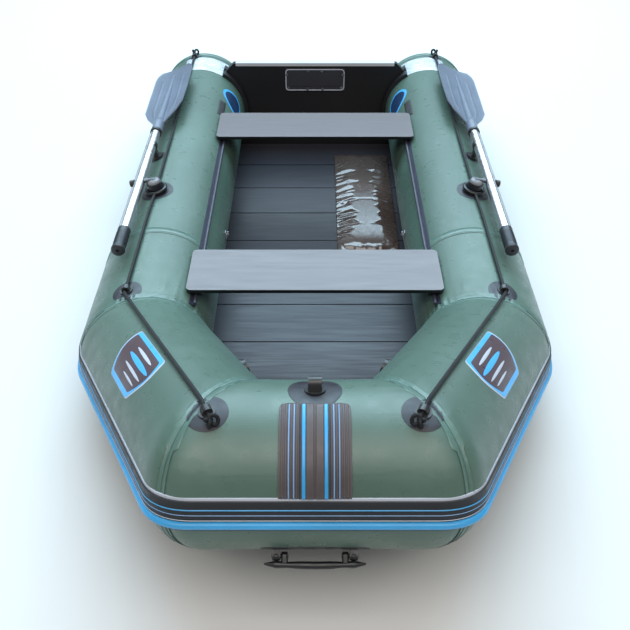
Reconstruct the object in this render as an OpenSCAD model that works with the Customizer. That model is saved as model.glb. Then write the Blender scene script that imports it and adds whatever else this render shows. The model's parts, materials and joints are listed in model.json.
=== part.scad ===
// Inflatable dinghy with a hard transom, slatted floor, two sliding seats and a pair of oars.
// The frame: +Z up, the bow points to -Y, port is +X. The origin is under the middle of the hull.
// "Station" means the distance aft of the bow tube's axis. Angles round a tube are counted from
// its outboard side (0) over its top (90) to its inboard side (180).

/* [Tubes] */
// Radius of the inflated tubes
tube_r = 190; // [150:5:230]
// Thickness of the coated fabric
skin = 1.1; // [0.8:0.1:1.4]
// How much the loaded tubes flatten where they lie on the ground
ground_flat = 1; // [0.5:0.5:2]
// Half the distance between the two side tubes' axes
beam_half = 510; // [460:5:620]
// Half the length of the straight bow tube's axis
bow_half = 216; // [180:2:260]
// Height of the bow tube's axis above the side tubes' axes
bow_rise = 196; // [120:2:240]
// Station where the diagonal tubes meet the side tubes
bend_station = 583; // [480:1:700]
// Length of each stern cone
cone_len = 200; // [140:5:240]
// Radius of the flat end of each stern cone
cone_end_r = 105; // [80:5:120]
// How far the straight tubes run aft of the transom
tail_len = 148; // [120:2:200]

/* [Rubbing strake] */
// Thickness of the strake's flat band
band_t = 5; // [3:0.5:8]
// Radius of the strake's round bead
bead_r = 8; // [6:0.5:9]
// Tube angle of the strake's lower edge
band_low = 5; // [0:1:8]
// Tube angle of the strake's upper edge
band_high = 26; // [22:1:32]
// Tube angle of the round bead
bead_angle = 8.5; // [8:0.5:12]
// Half the width of the ribbed wear strip over the bow
wear_half = 76; // [50:2:90]
// Thickness of the wear strip
wear_t = 4; // [3:0.5:6]

/* [Transom and floor] */
// Station of the transom's inner face
transom_station = 2247; // [1900:1:2600]
// Thickness of the transom board
transom_t = 25; // [18:1:30]
// Height of the transom's top edge above the side tubes' tops
transom_rise = 21; // [13:1:50]
// Half the width of the transom's top edge
transom_half = 362; // [320:2:370]
// Thickness of each motor plate
motor_plate_t = 6; // [4:0.5:10]
// Half the width of the motor plates
motor_plate_half = 134; // [110:2:150]
// Height of the motor plates
motor_plate_h = 104; // [90:2:120]
// Number of floor boards
slat_count = 8; // [6:1:8]
// Distance from one floor board to the next
slat_pitch = 200; // [180:1:203]
// Thickness of the floor boards
slat_t = 9; // [6:0.5:12]
// Gap between two floor boards
slat_gap = 5; // [3:0.5:12]

/* [Seats] */
// Clearance between the seat boards' ends and the side tubes
seat_side_gap = 6; // [4:0.5:30]
// Depth of the seat boards
seat_d = 207; // [180:1:220]
// Thickness of the seat boards
seat_t = 12; // [9:0.5:12]
// Height of the seats' top face above the side tubes' axes
seat_rise = 161; // [159:1:171]
// Station of the fore seat's centre
seat_fore_station = 788; // [700:1:860]
// Station of the aft seat's centre
seat_aft_station = 1754; // [1600:1:1800]
// Radius of the seat rail's round bead
rail_bead_r = 5; // [4:0.25:5.5]
// Station of the rails' fore end
rail_start = 655; // [600:1:670]
// Length of the rails
rail_len = 1235; // [1000:5:1260]

/* [Oars] */
// Radius of the oar shafts
shaft_r = 17.5; // [14:0.5:18]
// Wall of the oar shafts
shaft_wall = 1.5; // [1:0.1:2.5]
// Length of each oar from end to end
oar_len = 1345; // [1200:5:1500]
// Length of each oar ahead of its pin
oar_inboard = 405; // [300:5:420]
// Length of the grips
grip_len = 112; // [100:2:160]
// Length of the blades
blade_len = 580; // [400:10:600]
// Half the width of the blades
blade_half = 84; // [60:2:90]
// Height of the stowed oars above the oarlocks' feet
oar_rise = 34.5; // [33:0.5:40]
// Distance of the stowed oars outboard of the oarlocks' feet
oar_offset = 53.7; // [53:0.1:60]
// Station of the oarlocks
oarlock_station = 1205; // [1100:5:1300]
// Radius of the oarlock's upright stem
stem_r = 8; // [6:0.5:9]
// Radius of the oar pin
pin_r = 5; // [4:0.25:6]
// Station of the oar clips
clip_station = 1462; // [1430:2:1500]

/* [Fittings] */
// Diameter of the grab line
line_d = 10; // [8:0.5:10.5]
// Clearance between the grab line and the holes it runs through
line_gap = 1; // [0.5:0.1:1.5]
// Radius of the hole in the tow eye
tow_hole_r = 7; // [5:0.5:8]
// Height of the tow eye's hole above the bow tube
tow_hole_h = 19; // [18:0.5:22]
// Half the distance between the carry handle's bosses
handle_half = 86; // [70:2:100]
// Tube angle of the carry handle
handle_angle = -34; // [-38:1:-30]
// Clearance between a turning pin and its bore
running_gap = 0.05; // [0.02:0.01:0.1]
// Clearance between glued or seated pieces
seat_gap = 0.3; // [0.2:0.05:0.4]

/* [Hidden] */
$fn = 64;

axis_z = tube_r - ground_flat;
bow_z = axis_z + bow_rise;
cone_station = transom_station + tail_len;
end_station = cone_station + cone_len;
// The foremost point is the strake's bead
nose = (tube_r + band_t) * cos(bead_angle) + bead_r;
bow_y = -(end_station - nose) / 2;
big = 6000;

function at(x, station, z) = [x, bow_y + station, z];
transom_top = axis_z + tube_r + transom_rise;
seat_top = axis_z + seat_rise;

function unit(v) = v / norm(v);
function in_plane(v, n) = unit(v - (v * n) * n);

// The port diagonal tube: its two axis ends, its direction and its two cross directions
bow_corner = at(bow_half, 0, bow_z);
bend = at(beam_half, bend_station, axis_z);
diag_len = norm(bend - bow_corner);
diag_dir = unit(bend - bow_corner);
diag_out = unit([diag_dir.y, -diag_dir.x, 0]);
diag_up = cross(diag_out, diag_dir);
bow_mitre = unit([1, 0, 0] + diag_dir);
bend_mitre = unit(diag_dir + [0, 1, 0]);
bottom_slope = atan(bow_rise / bend_station);

// How far each tube's angles turn against the bow tube's, along a line that runs on round the bends
function frame_angle(v, out, up) = atan2(v * up, v * out);
bow_bend = cross([1, 0, 0], diag_dir);
side_bend = cross(diag_dir, [0, 1, 0]);
diag_turn = frame_angle(bow_bend, diag_out, diag_up)
    - frame_angle(bow_bend, [0, -1, 0], [0, 0, 1]);
side_turn = diag_turn + frame_angle(side_bend, [1, 0, 0], [0, 0, 1])
    - frame_angle(side_bend, diag_out, diag_up);

function side_dir(angle) = [cos(angle), 0, sin(angle)];
function side_point(angle, r, station) =
    at(beam_half, station, axis_z) + r * side_dir(angle);
function bow_dir(angle) = [0, -cos(angle), sin(angle)];
function bow_point(angle, r, x) = at(x, 0, bow_z) + r * bow_dir(angle);
function diag_side(angle) = cos(angle) * diag_out + sin(angle) * diag_up;
function diag_point(angle, r, t) = bow_corner + t * diag_dir + r * diag_side(angle);

// ---------- helpers ----------

// Turns +Z to point along v
module point_to(v) {
    rotate([0, acos(v.z / norm(v)), atan2(v.y, v.x)]) children();
}

module rod(a, b, r) {
    translate(a) point_to(b - a) cylinder(r = r, h = norm(b - a));
}

// Everything on the side of the plane through p that n points to
module beyond(p, n) {
    translate(p) point_to(n) translate([-big / 2, -big / 2, 0]) cube([big, big, big / 2]);
}

module below(z) {
    translate([-big / 2, -big / 2, z - big]) cube([big, big, big]);
}

module starboard() {
    mirror([1, 0, 0]) children();
}

module both_sides() {
    children();
    starboard() children();
}

// A frame on a surface: local Z points along n, and local X as near along x as it can
module on_surface(p, n, x) {
    z_axis = unit(n);
    y_axis = unit(cross(z_axis, x));
    x_axis = cross(y_axis, z_axis);
    multmatrix([
        [x_axis.x, y_axis.x, z_axis.x, p.x],
        [x_axis.y, y_axis.y, z_axis.y, p.y],
        [x_axis.z, y_axis.z, z_axis.z, p.z]
    ]) children();
}

// The wedge between two angles, as a prism along local Z
module wedge(from, to, reach, length) {
    linear_extrude(length)
        polygon([[0, 0], for (i = [0:4]) reach * [cos(from + (to - from) * i / 4),
                                                  sin(from + (to - from) * i / 4)]]);
}

// A pipe from a to b whose fabric has the given outer radius
module fabric_pipe(a, b, r) {
    difference() {
        difference() {
            rod(a, b, r);
            below(0);
        }
        difference() {
            rod(a - unit(b - a), b + unit(b - a), r - skin);
            below(skin);
        }
    }
}

// ---------- tubes ----------

module tube_bow() {
    reach = 2 * tube_r;
    color("#3d5c50") difference() {
        fabric_pipe(bow_corner - [2 * bow_half + reach, 0, 0], bow_corner + [reach, 0, 0], tube_r);
        beyond(bow_corner, bow_mitre);
        starboard() beyond(bow_corner, bow_mitre);
    }
}

module diagonal_tube() {
    reach = tube_r * diag_dir;
    difference() {
        fabric_pipe(bow_corner - reach, bend + reach, tube_r);
        beyond(bow_corner, -bow_mitre);
        beyond(bend, bend_mitre);
        rod(valve_point - 40 * valve_dir, valve_point + 40 * valve_dir, valve_hole_r);
    }
}
module tube_diagonal_port() { color("#3d5c50") diagonal_tube(); }
module tube_diagonal_starboard() { color("#3d5c50") starboard() diagonal_tube(); }

module side_tube() {
    difference() {
        fabric_pipe(at(beam_half, bend_station - tube_r, axis_z),
                    at(beam_half, cone_station, axis_z), tube_r);
        beyond(bend, -bend_mitre);
    }
}
module tube_side_port() { color("#3d5c50") side_tube(); }
module tube_side_starboard() { color("#3d5c50") starboard() side_tube(); }

module stern_cone() {
    cap_t = 3;
    translate(at(beam_half, cone_station, axis_z)) rotate([-90, 0, 0]) difference() {
        cylinder(r1 = tube_r, r2 = cone_end_r, h = cone_len);
        translate([0, 0, -cap_t])
            cylinder(r1 = tube_r - skin + cap_t * (tube_r - cone_end_r) / cone_len,
                     r2 = cone_end_r - skin, h = cone_len);
        translate([0, big / 2 + axis_z, 0]) cube([big, big, big], center = true);
    }
}
module stern_cone_port() { color("#3d5c50") stern_cone(); }
module stern_cone_starboard() { color("#3d5c50") starboard() stern_cone(); }

// Fabric walls inside the side tubes, which part their air chambers
module bulkheads() {
    wall_station = 960;
    color("#4a4a52") both_sides() difference() {
        rod(at(beam_half, wall_station, axis_z), at(beam_half, wall_station + 1, axis_z),
            tube_r - skin - seat_gap);
        below(skin + seat_gap);
    }
}

// ---------- bottom, floor and transom ----------

bottom_z = 1;
bottom_gap = 2;
// Half the width of the strip under each tube that the bottom stays clear of
bottom_strip = sqrt(pow(tube_r, 2) - pow(axis_z - bottom_z - skin, 2)) + bottom_gap;
bottom_half = beam_half - bottom_strip;

module hull_bottom() {
    flat_start = 540;
    slope_half = bow_half - bottom_strip;
    slope_run = (bend_station + tube_r * sin(bottom_slope)) / cos(bottom_slope);
    color("#33383c") union() {
        translate(at(-bottom_half, flat_start, bottom_z))
            cube([2 * bottom_half, transom_station + transom_t - flat_start, skin]);
        difference() {
            translate(at(0, 0, bow_z)) rotate([-bottom_slope, 0, 0])
                translate([0, 0, -tube_r - seat_gap - skin]) linear_extrude(skin)
                    polygon([[-slope_half, 0], [slope_half, 0],
                             [bottom_half, slope_run], [-bottom_half, slope_run]]);
            below(bottom_z);
        }
    }
}

slat_z = bottom_z + skin + 1;
slat_half = 410;
slats_end = transom_station - 19;
module floor_slats() {
    color("#45474c") for (i = [0:slat_count - 1])
        translate(at(-slat_half, slats_end - (i + 1) * slat_pitch + slat_gap, slat_z))
            cube([2 * slat_half, slat_pitch - slat_gap, slat_t]);
}

holder_base = 4;
board_cut = tube_r + holder_base + seat_gap;
cap_wall = 3;
cap_depth = 14;
board_top = transom_top - cap_wall - seat_gap;
bolt_spots = [[31, 93], [125, 77], [119, 16], [34, 9]];
plate_low = transom_top - 129;
bolt_r = 3;
bolt_head_r = 6;
bolt_head_t = 3;
plates_start = transom_station - motor_plate_t;
plates_end = transom_station + transom_t + motor_plate_t;
drain_spot = [-215, 62];
drain_r = 14;

module transom_board() {
    shoulder = 40;
    color("#16171a") difference() {
        translate(at(0, transom_station + transom_t, 0)) rotate([90, 0, 0])
            linear_extrude(transom_t)
                polygon([[-400, slat_z], [400, slat_z],
                         [transom_half + shoulder, board_top - shoulder],
                         [transom_half, board_top], [-transom_half, board_top],
                         [-transom_half - shoulder, board_top - shoulder]]);
        both_sides() rod(at(beam_half, transom_station - 1, axis_z),
                         at(beam_half, transom_station + transom_t + 1, axis_z), board_cut);
        motor_bolt_holes();
        rod(at(drain_spot.x, transom_station - 1, drain_spot.y),
            at(drain_spot.x, transom_station + transom_t + 1, drain_spot.y), drain_r + seat_gap);
    }
}

module transom_cap() {
    length = 2 * transom_half - 20;
    side = cap_wall + seat_gap;
    color("#b9bdc2") difference() {
        translate(at(-length / 2, transom_station - side, transom_top - cap_depth))
            cube([length, transom_t + 2 * side, cap_depth]);
        translate(at(-length, transom_station - seat_gap, transom_top - cap_depth - 1))
            cube([2 * length, transom_t + 2 * seat_gap, cap_depth + 1 - cap_wall]);
    }
}

// Fabric-backed channels that hold the transom's two edges to the tubes
module transom_holders() {
    reach = 34;
    lip = 15;
    color("#1d1e22") both_sides() difference() {
        translate(at(beam_half, transom_station - reach, axis_z)) rotate([-90, 0, 0])
            intersection() {
                difference() {
                    cylinder(r = tube_r + lip, h = transom_t + 2 * reach);
                    translate([0, 0, -1]) cylinder(r = tube_r + seat_gap / 2, h = big);
                }
                wedge(-121, -237, 2 * tube_r, transom_t + 2 * reach);
            }
        translate(at(0, transom_station - seat_gap, -big / 2))
            intersection() {
                cube([big, transom_t + 2 * seat_gap, big]);
                translate([beam_half, -1, axis_z + big / 2]) rotate([-90, 0, 0])
                    difference() {
                        cylinder(r = 2 * tube_r, h = 100);
                        translate([0, 0, -1]) cylinder(r = tube_r + holder_base, h = 102);
                    }
            }
    }
}

module motor_bolt_holes() {
    for (side = [-1, 1], spot = bolt_spots)
        rod(at(side * spot.x, transom_station - 30, plate_low + spot.y),
            at(side * spot.x, transom_station + transom_t + 30, plate_low + spot.y),
            bolt_r + seat_gap);
}

module motor_plate(station) {
    difference() {
        translate(at(-motor_plate_half, station, plate_low))
            cube([2 * motor_plate_half, motor_plate_t, motor_plate_h]);
        motor_bolt_holes();
    }
}

// The inner plate has two raised pads for the motor's clamp screws
module motor_plate_inner() {
    pad = [98, 3, 58];
    color("#23252a") union() {
        motor_plate(plates_start);
        for (x = [-110, 12])
            translate(at(x, plates_start - pad.y, plate_low + 24)) cube(pad);
    }
}

// The outer plate's bolt heads are sunk, so that a motor's bracket lies flat on it
module motor_plate_outer() {
    color("#23252a") difference() {
        motor_plate(transom_station + transom_t);
        for (side = [-1, 1], spot = bolt_spots)
            rod(at(side * spot.x, plates_end - bolt_head_t, plate_low + spot.y),
                at(side * spot.x, plates_end + 1, plate_low + spot.y), bolt_head_r + seat_gap);
    }
}

module motor_plate_bolts() {
    color("#a8adb3") for (side = [-1, 1], spot = bolt_spots) {
        x = side * spot.x;
        z = plate_low + spot.y;
        rod(at(x, plates_start - bolt_head_t, z), at(x, plates_start, z), bolt_head_r);
        rod(at(x, plates_start - 1, z), at(x, plates_end - 1, z), bolt_r);
        rod(at(x, plates_end - bolt_head_t, z), at(x, plates_end - seat_gap, z), bolt_head_r);
    }
}

module drain_valve_body() {
    flange_r = 24;
    x = drain_spot.x;
    z = drain_spot.y;
    color("#2b2d31") difference() {
        union() {
            rod(at(x, transom_station - 3, z), at(x, transom_station, z), flange_r);
            rod(at(x, transom_station - 1, z), at(x, transom_station + transom_t + 6, z), drain_r);
        }
        rod(at(x, transom_station - 4, z), at(x, big, z), plug_r + running_gap);
    }
}
plug_r = 10;

module drain_plug() {
    x = drain_spot.x;
    z = drain_spot.y;
    end = transom_station + transom_t + 6 + seat_gap;
    color("#111214") union() {
        rod(at(x, transom_station + 2, z), at(x, end + 1, z), plug_r);
        rod(at(x, end, z), at(x, end + 6, z), 17);
        rod(at(x, end + 5, z), at(x, end + 16, z), 6);
    }
}

// ---------- strake and wear strip ----------

module band_section(r_low, r_high, from, to, length) {
    intersection() {
        difference() {
            cylinder(r = r_high, h = length);
            translate([0, 0, -1]) cylinder(r = r_low, h = length + 2);
        }
        wedge(from, to, 2 * tube_r, length);
    }
}

// The strake's section: X points outboard and Y up, round the tube's axis
module strake_profile() {
    difference() {
        union() {
            intersection() {
                circle(tube_r + band_t);
                polygon([[0, 0], for (i = [0:4]) 2 * tube_r
                    * [cos(band_low + (band_high - band_low) * i / 4),
                       sin(band_low + (band_high - band_low) * i / 4)]]);
            }
            rotate(bead_angle) translate([tube_r + band_t, 0]) circle(bead_r);
        }
        circle(tube_r + seat_gap / 2);
    }
}

// Local Z runs along the tube
module strake_section(length, turn) {
    linear_extrude(length) rotate(turn) strake_profile();
}

module strake_bow() {
    length = 2 * bow_half + 4 * tube_r;
    color("#17191d") difference() {
        multmatrix([[0, 0, 1, -length / 2], [-1, 0, 0, bow_y], [0, 1, 0, bow_z]])
            strake_section(length, 0);
        beyond(bow_corner, bow_mitre);
        starboard() beyond(bow_corner, bow_mitre);
    }
}

// Two lengths of strake, which butt at the bend
module side_strake() {
    reach = 2 * tube_r;
    joint_gap = seat_gap / 2;
    start = bow_corner - reach * diag_dir;
    union() {
        difference() {
            multmatrix([[diag_out.x, diag_up.x, diag_dir.x, start.x],
                        [diag_out.y, diag_up.y, diag_dir.y, start.y],
                        [diag_out.z, diag_up.z, diag_dir.z, start.z]])
                strake_section(diag_len + 2 * reach, diag_turn);
            beyond(bow_corner, -bow_mitre);
            beyond(bend - joint_gap * bend_mitre, bend_mitre);
        }
        difference() {
            multmatrix([[1, 0, 0, beam_half], [0, 0, 1, bend.y - reach], [0, 1, 0, axis_z]])
                strake_section(cone_station - bend_station + reach, side_turn);
            beyond(bend + joint_gap * bend_mitre, -bend_mitre);
        }
    }
}
module strake_port() { color("#17191d") side_strake(); }
module strake_starboard() { color("#17191d") starboard() side_strake(); }

module bow_wear_strip() {
    rib = 2;
    rib_half = 31;
    top = 92;
    low = band_high + 1.5;
    color("#3b3434") translate(at(0, 0, bow_z)) union() {
        multmatrix([[0, 0, 1, -wear_half], [-1, 0, 0, 0], [0, 1, 0, 0]])
            band_section(tube_r + seat_gap / 2, tube_r + wear_t, low, top, 2 * wear_half);
        multmatrix([[0, 0, 1, -rib_half], [-1, 0, 0, 0], [0, 1, 0, 0]])
            band_section(tube_r + wear_t - 1, tube_r + wear_t + rib, low, top, 2 * rib_half);
    }
}

// ---------- eyes, patches and grab lines ----------

eye_hole_r = line_d / 2 + line_gap;
line_h = eye_hole_r + 3;
oarlock_angle = 79;
oarlock_dir = side_dir(oarlock_angle);
oarlock_spot = side_point(oarlock_angle, tube_r, oarlock_station);
tow_angle = 106;
bow_eye_x = bow_half + 14;
bow_eye_angle = 84;
corner_eye_station = bend_station + 64;
corner_eye_angle = 78;
stern_eye_station = 2362;
stern_eye_angle = 79;
bow_eye_dir = bow_dir(bow_eye_angle);
bow_eye_spot = bow_point(bow_eye_angle, tube_r, bow_eye_x);
corner_eye_dir = side_dir(corner_eye_angle);
corner_eye_spot = side_point(corner_eye_angle, tube_r, corner_eye_station);
stern_eye_dir = side_dir(stern_eye_angle);
stern_eye_spot = side_point(stern_eye_angle, tube_r, stern_eye_station);
patch_t = 1.5;

// A moulded eye on a round foot; the line runs through it along local X
module eye(hole_r, hole_h, length, width, foot_r) {
    foot_z = patch_t + seat_gap;
    difference() {
        union() {
            translate([0, 0, foot_z]) cylinder(r = foot_r, h = 3);
            translate([-length / 2, 0, hole_h]) rotate([0, 90, 0])
                cylinder(r = width / 2, h = length);
            translate([-length / 2, -width / 2, foot_z])
                cube([length, width, hole_h - foot_z]);
        }
        translate([-foot_r, 0, hole_h]) rotate([0, 90, 0]) cylinder(r = hole_r, h = 2 * foot_r);
        translate([-length, -width, foot_z - width]) cube([2 * length, 2 * width, width]);
    }
}

module line_eye() {
    eye(eye_hole_r, line_h, 16, 24, 19);
}

module bow_eyes() {
    color("#101114") both_sides()
        on_surface(bow_eye_spot, bow_eye_dir, bow_line_dir) line_eye();
}
module corner_eyes() {
    color("#101114") both_sides()
        on_surface(corner_eye_spot, corner_eye_dir, [0, 1, 0]) line_eye();
}
module stern_eyes() {
    color("#101114") both_sides()
        on_surface(stern_eye_spot, stern_eye_dir, [0, 1, 0]) line_eye();
}
// Where the line crosses from the bow tube to the diagonal tube
line_ridge = at(bow_half + 31, 15, bow_z + tube_r + 8);
bow_line_dir = in_plane(line_ridge - bow_eye_spot, bow_eye_dir);

module tow_eye() {
    color("#0e0f12") on_surface(bow_point(tow_angle, tube_r, 0), bow_dir(tow_angle), [1, 0, 0])
        eye(tow_hole_r, tow_hole_h, 30, 30, 24);
}

// A round patch glued to a tube: a slice of a slightly larger tube
module tube_patch(a, b, spot, dir, r) {
    intersection() {
        difference() {
            rod(a, b, tube_r + patch_t);
            rod(a - unit(b - a), b + unit(b - a), tube_r + 0.1);
        }
        rod(spot - 40 * dir, spot + 20 * dir, r);
    }
}

module side_patch(station, angle, r) {
    tube_patch(at(beam_half, bend_station + 34, axis_z), at(beam_half, cone_station, axis_z),
               side_point(angle, tube_r, station), side_dir(angle), r);
}

module bow_patch(x, angle, r) {
    tube_patch(at(-300, 0, bow_z), at(300, 0, bow_z), bow_point(angle, tube_r, x),
               bow_dir(angle), r);
}

// The coated-fabric patches under the eyes, oarlocks, clips and carry handle
module patches() {
    color("#5d5966") union() {
        both_sides() {
            side_patch(oarlock_station, oarlock_angle, 56);
            side_patch(stern_eye_station, stern_eye_angle, 30);
            side_patch(clip_station, clip_angle, 30);
            side_patch(corner_eye_station, corner_eye_angle, 44);
            difference() {
                bow_patch(bow_eye_x, bow_eye_angle, 50);
                beyond(bow_corner - 1 * bow_mitre, bow_mitre);
            }
        }
        difference() {
            bow_patch(0, tow_angle, 60);
            beyond(bow_point(93, tube_r, 0), [0, -1, 0]);
        }
        translate(at(-handle_half - 36, 0, bow_z)) multmatrix([[0, 0, 1, 0], [-1, 0, 0, 0],
                                                               [0, 1, 0, 0]])
            band_section(tube_r + 0.1, tube_r + patch_t, handle_angle - 12, handle_angle + 15,
                         2 * handle_half + 72);
    }
}

// A cord as one closed mesh: a ring of points square to the route at each of its points
module cord(points, d, sides) {
    count = len(points);
    function heading(i) = unit(points[min(i + 1, count - 1)] - points[max(i - 1, 0)]);
    function level(i) = unit(cross(heading(i), [0, 0, 1]));
    function ring(i) = [
        for (k = [0:sides - 1])
            points[i] + d / 2 * (cos(360 * k / sides) * level(i)
                                 + sin(360 * k / sides) * cross(level(i), heading(i)))
    ];
    polyhedron(
        points = [for (i = [0:count - 1]) each ring(i)],
        faces = [
            [for (k = [sides - 1:-1:0]) k],
            for (i = [0:count - 2], k = [0:sides - 1])
                [i * sides + k, i * sides + (k + 1) % sides,
                 (i + 1) * sides + (k + 1) % sides, (i + 1) * sides + k],
            [for (k = [0:sides - 1]) (count - 1) * sides + k]
        ]
    );
}

function lifted(spot, dir) = spot + line_h * dir;
function along(p, v, distances) = [for (s = distances) p + s * v];

line_route = concat(
    along(lifted(bow_eye_spot, bow_eye_dir), bow_line_dir, [-34, -20, 20]),
    [line_ridge],
    along(lifted(corner_eye_spot, corner_eye_dir), [0, 1, 0], [-20, 20, 200, 400]),
    along(lifted(oarlock_spot, oarlock_dir), [0, 1, 0], [-38, 38, 200]),
    along(lifted(stern_eye_spot, stern_eye_dir), [0, 1, 0], [-700, -450, -200, -20, 20, 34])
);

module grab_line_port() { color("#121316") cord(line_route, line_d, 8); }
module grab_line_starboard() { color("#121316") starboard() cord(line_route, line_d, 8); }

// ---------- oarlocks and oars ----------

oar_x = oarlock_spot.x + oar_offset;
oar_z = oarlock_spot.z + oar_rise;
socket_h = 34;
socket_r = 26;
stem_low = 17;
oar_spot = at(oar_x, oarlock_station, oar_z);
oarlock_across = [oarlock_dir.z, 0, -oarlock_dir.x];
// The oar's place in the oarlock's own frame: how far outboard and how high
oar_reach = (oar_spot - oarlock_spot) * oarlock_across;
oar_height = (oar_spot - oarlock_spot) * oarlock_dir;
pin_end = oar_reach + shaft_r + 1;
pin_cap_len = 15;
pin_cap_r = 11.5;
arm_end = oar_reach - shaft_r - 0.6;

module in_oarlock() {
    on_surface(oarlock_spot, oarlock_dir, oarlock_across) children();
}

// A raised socket on a domed foot, with a tunnel for the grab line
module oarlock_base() {
    in_oarlock() difference() {
        union() {
            translate([0, 0, patch_t + seat_gap]) cylinder(r1 = 36, r2 = 30, h = 7);
            translate([0, 0, patch_t + 1]) cylinder(r = socket_r, h = socket_h - patch_t - 1);
        }
        translate([0, 0, stem_low - 0.5]) cylinder(r = stem_r + running_gap, h = socket_h);
        translate([0, 60, line_h]) rotate([90, 0, 0]) cylinder(r = eye_hole_r, h = 120);
    }
}
module oarlock_base_port() { color("#3a383d") oarlock_base(); }
module oarlock_base_starboard() { color("#3a383d") starboard() oarlock_base(); }

module oarlock_swivel() {
    collar_low = socket_h + 0.4;
    arm_w = 24;
    arm_h = 2 * (oar_height - collar_low);
    in_oarlock() difference() {
        union() {
            translate([0, 0, stem_low]) cylinder(r = stem_r, h = collar_low - stem_low + 1);
            translate([0, 0, collar_low]) cylinder(r = 22, h = 5);
            translate([-13, -arm_w / 2, collar_low]) cube([13 + arm_end, arm_w, arm_h]);
        }
        translate([-4, 0, oar_height]) rotate([0, 90, 0])
            cylinder(r = pin_r + running_gap, h = 100);
    }
}
module oarlock_swivel_port() { color("#8b8d94") oarlock_swivel(); }
module oarlock_swivel_starboard() { color("#8b8d94") starboard() oarlock_swivel(); }

module oar_pin() {
    in_oarlock() translate([0, 0, oar_height]) rotate([0, 90, 0]) union() {
        translate([0, 0, -3]) cylinder(r = pin_r, h = pin_end + 4);
        translate([0, 0, pin_end]) cylinder(r = pin_cap_r, h = pin_cap_len);
    }
}
module oar_pin_port() { color("#15161a") oar_pin(); }
module oar_pin_starboard() { color("#15161a") starboard() oar_pin(); }

// Stations counted from the oar's pin, positive towards the blade
oar_fore = -oar_inboard;
oar_aft = oar_len - oar_inboard;
blade_fore = oar_aft - blade_len;
socket_len = 70;
blade_tilt = 22;

module along_oar(from) {
    translate(oar_spot + [0, from, 0]) rotate([-90, 0, 0]) children();
}

module oar_shaft() {
    length = blade_fore + socket_len - 4 - oar_fore - 10;
    difference() {
        along_oar(oar_fore + 10) difference() {
            cylinder(r = shaft_r, h = length);
            translate([0, 0, -1]) cylinder(r = shaft_r - shaft_wall, h = length + 2);
        }
        in_oarlock() translate([0, 0, oar_height]) rotate([0, 90, 0])
            cylinder(r = pin_r + running_gap, h = 200);
    }
}
module oar_shaft_port() { color("#d6d9de") oar_shaft(); }
module oar_shaft_starboard() { color("#d6d9de") starboard() oar_shaft(); }

module oar_grip() {
    grip_r = shaft_r + 3;
    difference() {
        along_oar(oar_fore) cylinder(r = grip_r, h = grip_len);
        along_oar(oar_fore + 9) cylinder(r = shaft_r + running_gap, h = grip_len);
    }
}
module oar_grip_port() { color("#1b1d22") oar_grip(); }
module oar_grip_starboard() { color("#1b1d22") starboard() oar_grip(); }

module oar_blade() {
    blade_t = 5;
    neck = 60;
    widest = 200;
    difference() {
        union() {
            along_oar(blade_fore) cylinder(r = shaft_r + 3, h = socket_len + 8);
            translate(oar_spot) rotate([0, blade_tilt, 0]) translate([0, blade_fore, -blade_t / 2])
                linear_extrude(blade_t)
                    polygon([[-14, neck], [14, neck], [blade_half, widest],
                             [blade_half + 2, blade_len - 30], [blade_half - 22, blade_len],
                             [-blade_half + 22, blade_len], [-blade_half - 2, blade_len - 30],
                             [-blade_half, widest]]);
            along_oar(blade_fore + socket_len + 2)
                cylinder(r1 = shaft_r, r2 = 6, h = blade_len - socket_len - 60);
        }
        along_oar(blade_fore - 1)
            cylinder(r = shaft_r + running_gap, h = socket_len + 1);
    }
}
module oar_blade_port() { color("#6d7482") oar_blade(); }
module oar_blade_starboard() { color("#6d7482") starboard() oar_blade(); }

// The clip's own line runs out from the tube's axis through the oar
clip_angle = atan2(oar_z - axis_z, oar_x - beam_half);
clip_h = norm([oar_x - beam_half, oar_z - axis_z]) - tube_r;
module oar_clip() {
    clip_w = 18;
    clip_wall = 4;
    on_surface(side_point(clip_angle, tube_r, clip_station), side_dir(clip_angle), [0, 1, 0])
        difference() {
            union() {
                translate([0, 0, patch_t + seat_gap]) cylinder(r = 22, h = 4);
                translate([-clip_w / 2, -8, 5]) cube([clip_w, 16, clip_h - shaft_r - 6]);
                translate([-clip_w / 2, 0, clip_h]) rotate([0, 90, 0])
                    cylinder(r = shaft_r + clip_wall, h = clip_w);
            }
            translate([-50, 0, clip_h]) rotate([0, 90, 0])
                cylinder(r = shaft_r + seat_gap, h = 100);
            translate([-50, -50, clip_h + 7]) cube(100);
        }
}
module oar_clip_port() { color("#141519") oar_clip(); }
module oar_clip_starboard() { color("#141519") starboard() oar_clip(); }

// ---------- seats ----------

bead_h = 12;
// The rail's bead runs where the seat's slides hang level with the tube's shoulder
bead_z = seat_top - seat_t - 16;
rail_angle = 180 - asin((bead_z - axis_z) / (tube_r + bead_h));
bead_x = beam_half + (tube_r + bead_h) * cos(rail_angle);

// The boards reach from tube to tube at the height of their lower face
seat_w = 2 * (beam_half - sqrt(pow(tube_r, 2) - pow(seat_rise - seat_t, 2)) - seat_side_gap);

module seat_board(station) {
    corner = 16;
    translate(at(0, station, seat_top - seat_t)) linear_extrude(seat_t) difference() {
        square([seat_w, seat_d], center = true);
        for (x = [-1, 1], y = [-1, 1])
            translate([x * seat_w / 2, y * seat_d / 2]) difference() {
                square(2 * corner, center = true);
                translate([-x * corner, -y * corner]) circle(corner);
            }
    }
}
module seat_board_fore() { color("#b9b3b8") seat_board(seat_fore_station); }
module seat_board_aft() { color("#b9b3b8") seat_board(seat_aft_station); }

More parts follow.
